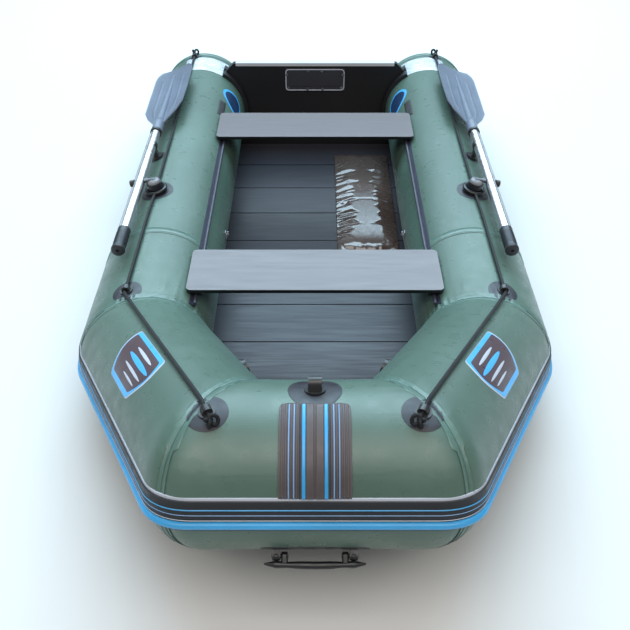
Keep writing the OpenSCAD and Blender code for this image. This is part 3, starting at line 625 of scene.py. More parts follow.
for label, low, high, bottom, top, steps, mat, nodes in (
        ("band", 5.2, 26.6, -0.0015, 0.0050, 6, RUBBER,
         ("strake_bow", "strake_port", "strake_starboard")),
        ("foot_tape", 26.2, 28.6, -0.001, 0.0018, 3, PALE, ()),
        ("line_blue", 20.0, 21.1, 0.003, 0.0058, 2, BLUE, ()),
        ("line_pale", 16.5, 17.2, 0.003, 0.0058, 2, PALE_BLUE, ()),
        ("line_grey", 12.6, 13.3, 0.003, 0.0060, 2, PALE, ())):
    sweep(f"strake_{label}", flat_profile(low, high, bottom, top, steps), mat, nodes, 40)
sweep("strake_bead", round_profile(9.3, 0.0050, 0.0092), BLUE)
sweep("strake_lip", round_profile(6.0, 0.0040, 0.0038, 12), RUBBER)

# ----- wear strip over the bow -----


def bow_spot(angle, r, x):
    a = radians(angle)
    return np.array((x, BOW_Y - r * cos(a), BOW_Z + r * sin(a)))


def side_spot(angle, r, s, sign=1):
    a = radians(angle)
    return np.array((sign * (SIDE_X + r * cos(a)), station(s), AXIS_Z + r * sin(a)))


def diag_spot(angle, r, t, sign=1):
    """A point on the port diagonal tube, t aft of its bow end; sign -1 mirrors it."""
    p = AXIS[2] - t * DIRS[1] + r * radial(1, angle)
    return np.array((sign * p[0], p[1], p[2]))


WEAR_HALF = 0.076
WEAR_LOW = 28.4


def wear_band(name, low_x, high_x, top, mat, ribs=0, nodes=(), top_angle=91.0):
    """A length of the wear strip between two x, over the tube up to top_angle."""
    count = max(2, int((high_x - low_x) / 0.0015))
    rows = []
    corner = 0.020
    angles = np.linspace(WEAR_LOW, top_angle, 44)
    for i in range(count + 1):
        x = low_x + (high_x - low_x) * i / count
        inset = max(0.0, abs(x) - (WEAR_HALF - corner))
        cut = degrees((corner - sqrt(max(0.0, corner ** 2 - inset ** 2))) / R)
        edge = min(i, count - i) * (high_x - low_x) / count
        lift = top - max(0.0, 0.0012 - edge)
        if ribs:
            lift += 0.0011 * cos(2 * pi * x / ribs)
        top_row = []
        for a in angles:
            b = min(a, top_angle - cut)
            fall = min(1.0, (top_angle - cut - b) * 1.2 + 0.25)
            top_row.append(bow_spot(b, R + lift * fall, x))
        rows.append(top_row)
    under = [[bow_spot(min(a, top_angle), R - 0.002, x) for a in angles]
             for x in (high_x, low_x)]
    return hoop(name, rows + under, mat, nodes, True)


wear_band("wear_strip", -WEAR_HALF, WEAR_HALF, 0.0040, RIBBED, 0.0076, ("bow_wear_strip",), 92.0)
wear_band("wear_centre_port", 0.002, 0.019, 0.0062, RIBBED)
wear_band("wear_centre_starboard", -0.019, -0.002, 0.0062, RIBBED)
for index, (a, b, mat) in enumerate((
        (0.0195, 0.0275, BLUE), (-0.0275, -0.0195, BLUE), (0.0300, 0.0325, RUBBER),
        (-0.0325, -0.0300, RUBBER), (0.0385, 0.0410, PALE_BLUE), (-0.0450, -0.0425, PALE_BLUE),
        (0.0500, 0.0520, PALE_BLUE), (-0.0560, -0.0535, PALE_BLUE))):
    wear_band(f"wear_line_{index}", a, b, 0.0066, mat)

# ----- patches wrapped on the tubes -----


def wrapped(name, outline, centre, normal, across, mat, thick=0.0012, sink=0.0006, rings=10,
            shift=(0.0, 0.0)):
    """A thin sheet of a given outline, pressed on the tubes round centre."""
    n = Vector(unit(normal))
    x = Vector(unit(across))
    x = (x - n * x.dot(n)).normalized()
    y = n.cross(x)
    c = Vector(centre)
    count = len(outline)

    def press(u, v, lift):
        p = c + x * (u + shift[0]) + y * (v + shift[1])
        hit = HULL_TREE.ray_cast(p + n * 0.12, -n, 0.3)
        if hit[0] is None:
            return p
        return hit[0] + hit[1] * lift if hit[1].dot(n) > 0 else hit[0] - hit[1] * lift

    verts = [press(0, 0, thick)]
    for ring in range(1, rings + 1):
        f = ring / rings
        for u, v in outline:
            verts.append(press(u * f, v * f, thick if ring < rings else thick * 0.8))
    for u, v in outline:
        verts.append(press(u * 1.002, v * 1.002, -sink))
    faces = [(0, 1 + i, 1 + (i + 1) % count) for i in range(count)]
    for ring in range(rings):
        a = 1 + ring * count
        b = a + count
        faces += [(a + i, b + i, b + (i + 1) % count, a + (i + 1) % count)
                  for i in range(count)]
    return crease(piece(name, verts, faces, mat), 50)


def disc(r):
    return [(r * cos(a), r * sin(a)) for a in circle(48)]


def normal_at(angle, kind, sign=1):
    if kind == "bow":
        a = radians(angle)
        return np.array((0, -cos(a), sin(a)))
    base = radial(0, angle) if kind == "side" else radial(1, angle)
    return np.array(mirrored(base, sign))


for sign, side in SIDES:
    for label, r, kind, angle, place in (
            ("bow_eye", 0.047, "bow", BOW_EYE_ANGLE, bow_spot(BOW_EYE_ANGLE, R, BOW_EYE_X)),
            *((label, r, "side", angle, side_spot(angle, R, s)) for label, r, (angle, s) in (
                ("corner_eye", 0.044, CORNER_EYE), ("stern_eye", 0.030, STERN_EYE),
                ("oarlock", 0.056, OARLOCK), ("clip", 0.030, (67.8, 1.462))))):
        spot = mirrored(place, sign)
        wrapped(f"patch_{label}_{side}", disc(r), spot, normal_at(angle, kind, sign),
                (0, 1, 0), PATCH)
wrapped("patch_tow", [(u, min(v, 0.052)) for u, v in disc(0.060)], bow_spot(106, R, 0),
        normal_at(106, "bow"), (1, 0, 0), PATCH)
wrapped("patch_handle", [(0.122 * c, 0.040 * s) for c, s in (squarish(t, 0.35) for t in circle(64))],
        bow_spot(HANDLE_ANGLE, R, 0), normal_at(HANDLE_ANGLE, "bow"), (1, 0, 0), RUBBER)

# ----- plain emblem panels on the diagonal tubes -----


def rounded(points, r, steps=6):
    """An outline with its corners rounded."""
    out = []
    n = len(points)
    for i in range(n):
        p = np.array(points[i], float)
        a = np.array(points[i - 1], float) - p
        b = np.array(points[(i + 1) % n], float) - p
        reach = min(r, 0.45 * np.linalg.norm(a), 0.45 * np.linalg.norm(b))
        first = p + unit(a) * reach
        last = p + unit(b) * reach
        for k in range(steps + 1):
            t = k / steps
            out.append(tuple((1 - t) ** 2 * first + 2 * t * (1 - t) * p + t * t * last))
    return out


def dense(points, step=0.006):
    """The same outline with points no further apart than step."""
    out = []
    for i, p in enumerate(points):
        q = points[(i + 1) % len(points)]
        count = max(1, int(hypot(q[0] - p[0], q[1] - p[1]) / step))
        out += [(p[0] + (q[0] - p[0]) * k / count, p[1] + (q[1] - p[1]) * k / count)
                for k in range(count)]
    return out


EMBLEM_T = 0.318
EMBLEM_ANGLE = 61.0


def emblem_outline():
    """A soft shield: two near-straight long sides, and an arc at each end."""
    fore = []
    aft = []
    for f in np.linspace(0.0, 1.0, 9):
        bulge = sin(pi * f)
        fore.append((-0.112 - 0.030 * bulge + 0.006 * f, -0.062 + 0.130 * f))
        aft.append((0.052 + 0.053 * f + 0.016 * bulge, 0.068 - 0.128 * f))
    return fore + aft


for sign, side in SIDES:
    spot = mirrored(diag_spot(EMBLEM_ANGLE, R, EMBLEM_T), sign)
    facing = normal_at(EMBLEM_ANGLE, "diag", sign)
    along = mirrored(-DIRS[1], sign)
    shape = [(u, v * -sign) for u, v in emblem_outline()]
    for label, long, wide, corner, mat, lift in (("edge", 1.0, 1.0, 0.022, PALE, 0.0006),
                                                 ("border", 0.955, 0.985, 0.020, CYAN, 0.0010),
                                                 ("panel", 0.925, 0.80, 0.020, EMBLEM, 0.0014)):
        inner = [(u * long, v * wide) for u, v in shape]
        wrapped(f"emblem_{label}_{side}", dense(rounded(inner, corner)), spot, facing, along,
                mat, lift)
    for index, (u, v, long, tall, mat) in enumerate((
            (-0.030, -0.030, 0.060, 0.0045, PALE), (-0.040, -0.008, 0.078, 0.0075, CYAN),
            (-0.046, 0.015, 0.066, 0.0040, PALE), (-0.056, 0.034, 0.046, 0.0030, PALE))):
        lens = [(long * cos(t), tall * sin(t)) for t in circle(64)]
        wrapped(f"emblem_ripple_{index}_{side}", lens, spot, facing, along, mat, 0.0018,
                rings=4, shift=(u, v * -sign))

# ----- silver patches and leaf-shaped trims by the transom -----

SILVER_ANGLE = 101
LEAF_ANGLE = 146

for sign, side in SIDES:
    spot = mirrored(side_spot(SILVER_ANGLE, R, 2.285), sign)
    wrapped(f"silver_patch_{side}",
            dense(rounded([(-0.070, -0.105), (0.070, -0.100), (0.072, 0.105), (-0.060, 0.100)],
                          0.02)),
            spot, normal_at(SILVER_ANGLE, "side", sign), (0, 1, 0), SILVER, 0.0016)
    spot = mirrored(side_spot(LEAF_ANGLE, R, 2.055), sign)
    leaf = [(0.085 * cos(t), 0.052 * sin(t) * (1 + 0.35 * cos(t)))
            for t in circle(48)]
    facing = normal_at(LEAF_ANGLE, "side", sign)
    wrapped(f"leaf_border_{side}", leaf, spot, facing, (0, 1, 0.35), CYAN, 0.0010)
    wrapped(f"leaf_panel_{side}", [(u * 0.84, v * 0.82) for u, v in leaf], spot, facing,
            (0, 1, 0.35), NAVY, 0.0016)

# ----- ropes -----


def smooth_path(points, step):
    """A Catmull-Rom curve through the points, sampled about every step."""
    corner = 0.35
    p = [np.array(q, float) for q in points]
    p = [2 * p[0] - p[1]] + p + [2 * p[-1] - p[-2]]
    out = []
    for i in range(1, len(p) - 2):
        count = max(2, int(np.linalg.norm(p[i + 1] - p[i]) / step))
        m0 = corner * (p[i + 1] - p[i - 1])
        m1 = corner * (p[i + 2] - p[i])
        limit = np.linalg.norm(p[i + 1] - p[i])
        m0 = m0 * min(1.0, limit / (np.linalg.norm(m0) + 1e-9))
        m1 = m1 * min(1.0, limit / (np.linalg.norm(m1) + 1e-9))
        for k in range(count):
            t = k / count
            h = (2 * t ** 3 - 3 * t ** 2 + 1, t ** 3 - 2 * t ** 2 + t,
                 -2 * t ** 3 + 3 * t ** 2, t ** 3 - t ** 2)
            out.append(h[0] * p[i] + h[1] * m0 + h[2] * p[i + 1] + h[3] * m1)
    out.append(p[-2])
    return out


def tube_along(path, r, sides, lobes=0, pitch=0.03, depth=0.12):
    """Rings of a tube along a path; lobes give it twisted strands."""
    rows = []
    far = 0.0
    x = None
    for i, p in enumerate(path):
        a = path[max(0, i - 1)]
        b = path[min(len(path) - 1, i + 1)]
        z = unit(b - a)
        if x is None:
            x = unit(np.cross(z, (0.1, 0.2, 1.0)))
        x = unit(x - z * np.dot(x, z))
        y = np.cross(z, x)
        if i:
            far += float(np.linalg.norm(p - path[i - 1]))
        row = []
        for t in circle(sides):
            wave = 1.0
            if lobes:
                wave = 1 - depth / 2 + depth / 2 * cos(lobes * (t - 2 * pi * far / pitch))
            row.append(p + r * wave * (cos(t) * x + sin(t) * y))
        rows.append(row)
    return rows


LINE_H = 0.009
LINE_R = 0.0052


def line_route():
    """The port grab line's route, through its eyes and the oarlock's tunnel."""
    bow_dir = normal_at(BOW_EYE_ANGLE, "bow")
    eye = bow_spot(BOW_EYE_ANGLE, R, BOW_EYE_X)
    ridge = np.array((BOW_HALF + 0.031, station(0.015), BOW_Z + R + 0.008))
    way = ridge - eye
    way = unit(way - bow_dir * np.dot(way, bow_dir))
    points = [eye + LINE_H * bow_dir + s * way for s in (-0.030, -0.020, 0.0, 0.020)]
    points.append(ridge)
    aft = np.array((0, 1.0, 0))
    for (angle, s), offsets in ((CORNER_EYE, (-0.020, 0.020, 0.2, 0.4)),
                                (OARLOCK, (-0.038, 0.038, 0.2)),
                                (STERN_EYE, (-0.7, -0.45, -0.2, -0.020, 0.020, 0.032))):
        spot = side_spot(angle, R + LINE_H, s)
        points += [spot + d * aft for d in offsets]
    return points


def knot(name, at, way, sign):
    """An overhand knot where the rope ends."""
    z = Vector(way).normalized()
    x = z.orthogonal().normalized()
    y = z.cross(x)
    r = 0.0078
    path = []
    for i in range(70):
        t = 2 * pi * i / 69 * 1.35
        p = x * ((1.2 + 0.55 * cos(3 * t / 2)) * cos(t))
        p += y * ((1.2 + 0.55 * cos(3 * t / 2)) * sin(t))
        p += z * (0.9 * sin(3 * t / 2))
        path.append(np.array(Vector(at) + p * r))
    rows = tube_along(path, LINE_R * 0.92, 12, 3, 0.02, 0.14)
    loft(name, mirrored_rows(rows, sign), ROPE)


ROUTE = line_route()
for sign, side in SIDES:
    rows = tube_along(smooth_path(ROUTE, 0.0035), LINE_R, 18, 3, 0.026, 0.16)
    loft(f"grab_rope_{side}", mirrored_rows(rows, sign), ROPE, nodes=(f"grab_line_{side}",))
    knot(f"knot_bow_{side}", ROUTE[0] - 0.004 * unit(ROUTE[1] - ROUTE[0]) + (0, 0, 0.003),
         ROUTE[1] - ROUTE[0], sign)
    knot(f"knot_stern_{side}", ROUTE[-1] + (0, 0.004, 0.003), (0, 1, 0), sign)

# ----- oars -----

OAR_X = 0.600
OAR_Z = 0.410
PIN_Y = station(OARLOCK[1])
SHAFT_R = 0.0175
OAR_FORE = PIN_Y - 0.405
BLADE_LEN = 0.580
BLADE_FORE = PIN_Y + 0.940 - BLADE_LEN
GRIP_LEN = 0.112
TILT = radians(22)


def lathe_oar(name, profile, mat, sign, side, nodes=()):
    """Turns (y, radius) round the oar's axis."""
    rows = [[(sign * (OAR_X + r * cos(a)), y, OAR_Z + r * sin(a)) for a in circle(48)]
            for y, r in profile]
    return loft(f"{name}_{side}", rows, mat, f"oar_{side}", nodes, 40)


def blade_half_at(f):
    """Half the blade's width, f along it from 0 to 1."""
    table = ((0.0, 0.015), (0.107, 0.016), (0.17, 0.034), (0.26, 0.063), (0.36, 0.083),
             (0.6, 0.0865), (0.90, 0.0865), (0.955, 0.081), (0.985, 0.070), (1.0, 0.060))
    return float(np.interp(f, [t[0] for t in table], [t[1] for t in table]))


def make_blade(sign, side):
    """A moulded blade: dished, with a tapering spine, two ribs and a rolled rim."""
    rows_top = []
    rows_low = []
    for i in range(121):
        f = 0.105 + 0.895 * i / 120
        half = blade_half_at(f)
        y = BLADE_FORE + f * BLADE_LEN
        top = []
        low = []
        for j in range(57):
            t = -1 + 2 * j / 56
            x = half * t
            dish = 0.006 * (t * t) * min(1.0, (f - 0.1) * 4)
            rim = 0.0012 * exp(-((1 - abs(t)) / 0.05) ** 2)
            rib = 0.0016 * exp(-((abs(x) - 0.55 * half) / 0.0035) ** 2)
            rib *= max(0.0, min(1.0, (0.88 - f) * 12, (f - 0.22) * 12))
            bow = 0.004 * sin(pi * f)
            thick = 0.0021 * (1 - 0.45 * abs(t) ** 4)
            mid = dish - bow
            top.append((x, y, mid + thick + rib + rim))
            low.append((x, y, mid - thick - rib * 0.6 - rim))
        rows_top.append(top)
        rows_low.append(low[::-1])
    rows = [a + b for a, b in zip(rows_top, rows_low)]

    def place(p):
        x = p[0] * cos(TILT) + p[2] * sin(TILT)
        z = -p[0] * sin(TILT) + p[2] * cos(TILT)
        return (sign * (OAR_X + x), p[1], OAR_Z + z)

    rows = [[place(p) for p in row] for row in rows]
    loft(f"blade_{side}", rows, BLADE, f"oar_{side}", (f"oar_blade_{side}",), 50)
    spine = [(BLADE_FORE - 0.001, SHAFT_R + 0.0004), (BLADE_FORE, SHAFT_R + 0.0028)]
    spine += [(BLADE_FORE + 0.076 + 0.004 * cos(t), SHAFT_R + 0.0028)
              for t in (pi, 0)]
    for i in range(25):
        f = i / 24
        spine.append((BLADE_FORE + 0.085 + f * (BLADE_LEN - 0.15),
                      0.0172 * (1 - f) + 0.0062 * f))
    end_y, end_r = spine[-1]
    spine += [(end_y + end_r * sin(a), end_r * cos(a))
              for a in (0.3, 0.6, 0.9, 1.2, 1.5)]
    lathe_oar("blade_spine", spine, BLADE, sign, side)
    collar = [(BLADE_FORE - 0.004, SHAFT_R + 0.0004), (BLADE_FORE - 0.003, SHAFT_R + 0.004),
              (BLADE_FORE + 0.010, SHAFT_R + 0.004), (BLADE_FORE + 0.012, SHAFT_R + 0.002)]
    lathe_oar("blade_collar", collar, BLACK, sign, side)


def make_grip(sign, side):
    """A ribbed rubber grip with a flared end and a hole in its cap."""
    profile = [(OAR_FORE + 0.006, 0.0005), (OAR_FORE + 0.006, 0.0045), (OAR_FORE, 0.0055),
               (OAR_FORE, 0.016), (OAR_FORE + 0.0012, 0.0195), (OAR_FORE + 0.004, 0.0212),
               (OAR_FORE + 0.010, 0.0212), (OAR_FORE + 0.014, 0.0198)]
    for i in range(61):
        f = i / 60
        ring = 0.0005 * (1 if (i % 4) < 2 else -1) if 4 < i < 52 else 0.0
        profile.append((OAR_FORE + 0.016 + f * (GRIP_LEN - 0.022),
                        0.0197 + 0.0006 * sin(pi * f) + ring))
    profile += [(OAR_FORE + GRIP_LEN - 0.004, 0.0208), (OAR_FORE + GRIP_LEN - 0.001, 0.0204),
                (OAR_FORE + GRIP_LEN, 0.0178)]
    lathe_oar("grip", profile, GRIP, sign, side, (f"oar_grip_{side}",))


for sign, side in SIDES:
    make_blade(sign, side)
    make_grip(sign, side)

# ----- cloth edges of the seat rails -----

RAIL_START = 0.655
RAIL_LEN = 1.235


def side_band(name, sign, low, high, s0, s1, lift, mat, steps=10):
    """A cloth band on a side tube's inboard shoulder."""
    rows = []
    angles = list(np.linspace(low, high, steps))
    for i, s in enumerate(np.linspace(s0, s1, 90)):
        edge = 0.0 if i in (0, 89) else lift
        row = [side_spot(a, R + (edge if 0 < k < steps - 1 else 0.0003), s, sign)
               for k, a in enumerate(angles)]
        rows.append(row)
    verts, faces = grid(rows)
    return piece(name, verts, faces, mat)


for sign, side in SIDES:
    side_band(f"rail_edge_{side}", sign, 141.2, 142.5, RAIL_START, RAIL_START + RAIL_LEN,
              0.0020, PALE, 5)
    side_band(f"rail_tab_{side}", sign, 124.0, 134.0, RAIL_START + RAIL_LEN - 0.03,
              RAIL_START + RAIL_LEN + 0.10, 0.0022, LINER)

# ----- pouch on the floor -----

CLOTH_FRAMES = 19


def make_pouch():
    """A half-filled flat pouch: inflated by a cloth simulation, with a welded rim."""
    low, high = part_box("floor_pouch")
    size = [high[i] - low[i] for i in range(3)]
    nx = 42
    ny = 130
    middle_z = low[2] + 0.006
    inset = 0.004

    def spot(i, j, up):
        u = i / nx
        v = j / ny
        x = low[0] + inset + (size[0] - 2 * inset) * u
        y = low[1] + inset + (size[1] - 2 * inset) * v
        rim = min(u, 1 - u) * size[0], min(v, 1 - v) * size[1]
        inside = min(1.0, min(rim) / 0.030)
        return (x, y, middle_z + up * (0.0005 + 0.004 * inside))

    count = (nx + 1) * (ny + 1)
    verts = [spot(i, j, 1) for j in range(ny + 1) for i in range(nx + 1)]
    verts += [spot(i, j, -1) for j in range(ny + 1) for i in range(nx + 1)]
    faces = []
    for j in range(ny):
        for i in range(nx):
            a = j * (nx + 1) + i
            faces.append((a, a + 1, a + nx + 2, a + nx + 1))
            faces.append((count + a + nx + 1, count + a + nx + 2, count + a + 1, count + a))
    rim = list(range(nx + 1))
    rim += [j * (nx + 1) + nx for j in range(1, ny + 1)]
    rim += [ny * (nx + 1) + i for i in range(nx - 1, -1, -1)]
    rim += [j * (nx + 1) for j in range(ny - 1, 0, -1)]
    for k, a in enumerate(rim):
        b = rim[(k + 1) % len(rim)]
        faces.append((b, a, count + a, count + b))
    pouch = piece("pouch", verts, faces, FILM, "pouch", ("floor_pouch",))
    group = pouch.vertex_groups.new(name="rim")
    group.add([i for a in rim for i in (a, a + count)], 1.0, "REPLACE")
    cloth = pouch.modifiers.new("cloth", "CLOTH")
    settings = cloth.settings
    settings.quality = 6
    settings.mass = 0.2
    settings.tension_stiffness = 12
    settings.bending_stiffness = 0.12
    settings.use_pressure = True
    settings.uniform_pressure_force = 3.0
    settings.shrink_min = -0.035
    settings.vertex_group_mass = "rim"
    settings.pin_stiffness = 0.6
    settings.effector_weights.gravity = 0
    cloth.point_cache.frame_start = 1
    cloth.point_cache.frame_end = 20
    for step in range(1, CLOTH_FRAMES):
        bpy.context.scene.frame_set(step)
    graph = bpy.context.evaluated_depsgraph_get()
    moved = pouch.evaluated_get(graph).to_mesh()
    places = [v.co.copy() for v in moved.vertices]
    pouch.evaluated_get(graph).to_mesh_clear()
    pouch.modifiers.clear()
    bpy.context.scene.frame_set(1)
    for vertex, place in zip(pouch.data.vertices, places):
        vertex.co = place
    floor_z = low[2] + 0.0006
    for vertex in pouch.data.vertices:
        p = vertex.co
        crush = exp(-((p.y - low[1]) / 0.10) ** 2)
        wave = noise.noise(Vector((p.x * 22, p.y * 9, 3.0)))
        ridge = abs(noise.noise(Vector((p.x * 40, p.y * 30, 8.0))))
        up = min(1.0, max(0.0, (p.z - middle_z) / 0.012))
        p.z += up * (0.0035 * wave + (0.010 * ridge + 0.004) * crush)
        p.x = min(max(p.x, low[0] + 0.001), high[0] - 0.001)
        p.y = min(max(p.y, low[1] + 0.001), high[1] - 0.001)
        p.z = min(max(p.z, floor_z), high[2] - 0.001)
    sub = pouch.modifiers.new("smooth", "SUBSURF")
    sub.levels = 1
    sub.render_levels = 1
    return pouch


make_pouch()

# ----- carry handle -----

BAR_HALF = 0.1130
LEG_X = 0.0675
BOSS_X = 0.0862


def handle_spot(x, h, off=0.0):
    """A point over the handle's place: x across, h off the tube, off round the tube."""
    n = normal_at(HANDLE_ANGLE, "bow")
    tangent = np.array((0.0, n[2], -n[1]))
    return np.array((x, BOW_Y, BOW_Z)) + (R + h) * n + off * tangent


def make_handle():
    """A moulded carry handle: two legs on its pins, and a bar with a palm swell and wings."""
    rows = []
    for i in range(81):
        t = -1 + 2 * i / 80
        x = BAR_HALF * t
        half_h = 0.0084 - 0.0016 * exp(-((abs(t) - 0.55) / 0.16) ** 2)
        half_h *= min(1.0, 0.25 + 3.2 * (1 - abs(t)))
        half_w = 0.0112 * min(1.0, 0.35 + 3.0 * (1 - abs(t)))
        h = 0.0330 + 0.0016 * (1 - t * t) - 0.0015 * abs(t)
        rows.append([handle_spot(x, h + half_h * c, half_w * d)
                     for c, d in (squarish(a, 0.75) for a in circle(28))])
    loft("handle_bar", rows, BLACK, "handle", ("carry_handle_grip",), 50)
    for sign, side in SIDES:
        rows = []
        for i in range(25):
            f = i / 24
            h = 0.0050 + 0.0290 * f
            dome = min(1.0, sqrt(max(0.0, 1 - (1 - min(1.0, f * 3.2)) ** 2)) + 0.02)
            half_w = (0.0105 - 0.0010 * f) * dome
            half_x = 0.0078 * (0.75 + 0.25 * dome) + 0.012 * max(0.0, f - 0.72) ** 1.5
            rows.append([handle_spot(sign * (LEG_X + half_x * c), h, half_w * d)
                         for c, d in (squarish(a, 0.6) for a in circle(28))])
        loft(f"handle_leg_{side}", rows, BLACK, "handle", sharp=50)
        rows = []
        for i in range(17):
            a = -pi / 2 + pi * i / 16
            rows.append([handle_spot(sign * (BOSS_X + 0.0108 * sin(a)),
                                     0.015 + 0.0106 * cos(a) * cos(b),
                                     0.0106 * cos(a) * sin(b))
                         for b in circle(32)])
        loft(f"handle_boss_{side}", rows, BLACK)


make_handle()

# ----- oarlocks -----

LOCK_OUT = normal_at(OARLOCK[0], "side")
LOCK_ACROSS = np.array((LOCK_OUT[2], 0.0, -LOCK_OUT[0]))
LOCK_SPOT = side_spot(OARLOCK[0], R, OARLOCK[1])
TO_OAR = np.array((OAR_X, PIN_Y, OAR_Z)) - LOCK_SPOT
OAR_REACH = float(np.dot(TO_OAR, LOCK_ACROSS))
OAR_HEIGHT = float(np.dot(TO_OAR, LOCK_OUT))


def lock_spot(x, y, z, sign):
    """A point in the oarlock's own frame: x outboard, y aft, z off the tube."""
    p = LOCK_SPOT + x * LOCK_ACROSS + y * np.array((0.0, 1.0, 0.0)) + z * LOCK_OUT
    return mirrored(p, sign)


def make_oarlock(sign, side):
    """A dark guard ring round the socket, and a grey forked arm that holds the oar's pin."""
    rows = []
    for a in circle(64):
        rows.append([lock_spot(far * cos(a), far * sin(a), up, sign)
                     for far, up in ((0.0335 + 0.0065 * cos(b), 0.0090 + 0.0065 * sin(b))
                                     for b in circle(20))])
    verts, faces = grid(rows, True, True)
    piece(f"oarlock_ring_{side}", verts, faces, BLACK)
    body = f"swivel_{side}"
    profile = [(0.0005, 0.0480), (0.0100, 0.0478), (0.0165, 0.0462), (0.0205, 0.0430),
               (0.0222, 0.0395), (0.0222, 0.0348), (0.0205, 0.0344), (0.0005, 0.0344)]
    rows = [[lock_spot(r * cos(a), r * sin(a), z, sign) for a in circle(48)]
            for r, z in profile]
    loft(f"oarlock_collar_{side}", rows, GREY, body, (f"oarlock_swivel_{side}",), 45)
    end = OAR_REACH - SHAFT_R - 0.0008
    rows = []
    for i in range(41):
        f = i / 40
        x = -0.0125 + (0.0125 + end) * f
        round_end = min(1.0, sqrt(max(0.0, 1 - (1 - min(1.0, f * 4)) ** 2)) + 0.03)
        waist = 1 - 0.34 * exp(-((f - 0.52) / 0.20) ** 2)
        half_y = 0.0122 * waist * round_end
        low = 0.0350 + 0.010 * f ** 1.5 * waist
        high = OAR_HEIGHT + 0.0105 * (0.55 + 0.45 * f) * round_end
        twist = 0.45 * sin(pi * f)
        row = []
        for a in circle(28):
            c, d = squarish(a, 0.65)
            c *= half_y
            d *= (high - low) / 2
            row.append(lock_spot(x, c * cos(twist) - d * sin(twist) * 0.3,
                                 (low + high) / 2 + d * cos(twist) + c * sin(twist) * 0.3,
                                 sign))
        rows.append(row)
    loft(f"oarlock_arm_{side}", rows, DARK_GREY, body, sharp=50)


for sign, side in SIDES:
    make_oarlock(sign, side)

# ----- valve springs -----

VALVE_ANGLE = 172


def make_spring(sign, side):
    """The coil under the valve's stem, which is squeezed as the stem is pressed."""
    facing = normal_at(VALVE_ANGLE, "diag", sign)
    middle = float(np.linalg.norm(AXIS[1] - AXIS[2])) / 2
    centre = np.array(mirrored(diag_spot(VALVE_ANGLE, R, middle), sign))
    x = unit(np.cross(facing, (0.0, 0.0, 1.0)))
    y = np.cross(facing, x)
    path = []
    for i in range(181):
        a = 2 * pi * 4.5 * i / 180
        z = -0.0188 + 0.0132 * i / 180
        path.append(centre + 0.006 * (cos(a) * x + sin(a) * y) + z * facing)
    spring = loft(f"spring_{side}", tube_along(path, 0.0007, 10), STEEL,
                  nodes=(f"valve_spring_{side}",))
    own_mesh(spring)


for sign, side in SIDES:
    make_spring(sign, side)

# ----- rim of the motor plate -----


def make_plate_rim():
    """A light rolled rim round the inner motor plate."""
    low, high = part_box("motor_plate_inner")
    y = high[1] - 0.006
    half = (high[0] - low[0]) / 2 - 0.004
    mid = (high[2] + low[2]) / 2
    tall = (high[2] - low[2]) / 2 - 0.004
    outline = rounded([(-half, -tall), (half, -tall), (half, tall), (-half, tall)], 0.016, 8)
    path = [np.array((u, y, mid + v)) for u, v in dense(outline, 0.004)]
    n = len(path)
    rows = []
    for i, p in enumerate(path):
        z = unit(path[(i + 1) % n] - path[i - 1])
        side = np.cross(z, (0.0, 1.0, 0.0))
        rows.append([p + 0.0026 * cos(b) * side + 0.0018 * sin(b) * np.array((0, 1, 0))
                     for b in circle(12)])
    verts, faces = grid(rows, True, True)
    piece("motor_plate_rim", verts, faces, PALE)


make_plate_rim()

# ----- CAD nodes that stay, with their materials -----

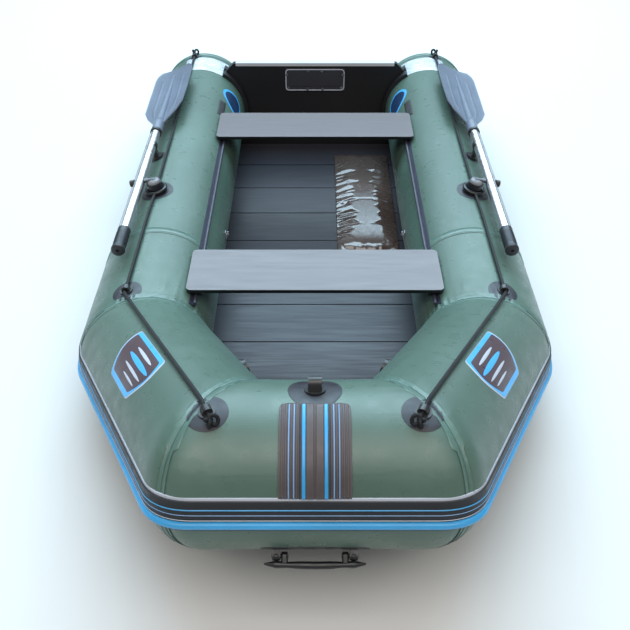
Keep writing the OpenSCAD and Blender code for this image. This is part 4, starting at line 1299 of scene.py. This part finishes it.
# A material and a bevel's width, and the nodes that wear them; * stands for both sides.
KEEP = {
    (BOTTOM, 0): "bulkheads hull_bottom",
    (BOARD, 0.0012): "floor_slats",
    (TRANSOM, 0.0015): "transom_board",
    (PROFILE, 0.0008): "transom_cap",
    (LINER, 0.0012): "transom_holders",
    (PLATE, 0.0012): "motor_plate_inner motor_plate_outer",
    (STEEL, 0.0008): "motor_plate_bolts",
    (BLACK, 0.0008): "drain_valve_body drain_plug seat_slides_fore seat_slides_aft oar_clip_* "
                     "valve_body_*",
    (BLACK, 0.001): "carry_handle_lugs valve_cap_*",
    (BLACK, 0.0012): "bow_eyes corner_eyes stern_eyes",
    (BLACK, 0.0015): "tow_eye oar_pin_*",
    (RAIL, 0.0004): "seat_rails",
    (GREY, 0.0006): "side_hooks",
    (PLY, 0.0018): "seat_board_fore seat_board_aft",
    (PATCH, 0.0012): "oarlock_base_*",
    (ALUMINIUM, 0): "oar_shaft_*",
    (BRASS, 0): "valve_stem_*",
}
for (mat, width), names in KEEP.items():
    pairs = [name.replace("*", side) for name in names.split() for _, side in SIDES]
    for name in dict.fromkeys(pairs):
        obj = NODES[name]
        worn = obj.data.materials
        for index in range(len(worn)):
            worn[index] = mat
        if not worn:
            worn.append(mat)
        if width > 0:
            crease(obj, 35, width)

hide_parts("patches")

# ----- studio -----


def area(name, place, target, size, power, colour):
    data = bpy.data.lights.new(name, "AREA")
    data.shape = "RECTANGLE"
    data.size, data.size_y = size
    data.energy = power
    data.color = colour
    light = bpy.data.objects.new(name, data)
    bpy.context.scene.collection.objects.link(light)
    light.location = place
    aim = Vector(target) - Vector(place)
    light.rotation_euler = aim.to_track_quat("-Z", "Y").to_euler()


def make_studio():
    world = bpy.data.worlds.new("studio")
    world.use_nodes = True
    back = world.node_tree.nodes["Background"]
    back.inputs["Color"].default_value = (0.92, 0.97, 1.0, 1.0)
    back.inputs["Strength"].default_value = 0.16
    bpy.context.scene.world = world
    bpy.context.scene.view_settings.view_transform = "Standard"
    area("sky_back", (0.0, 4.4, 6.0), (0, 0.3, 0.3), (10.0, 6.0), 1400, (0.60, 0.84, 1.0))
    area("front_top", (0.0, -3.0, 4.6), (0, -0.6, 0.1), (6.5, 3.0), 230, (1.0, 0.97, 0.93))
    bpy.ops.mesh.primitive_plane_add(size=60, location=(0, 0, -0.0005))
    floor = bpy.context.object
    floor.name = "studio_floor"
    floor.data.materials.append(FLOOR)


make_studio()
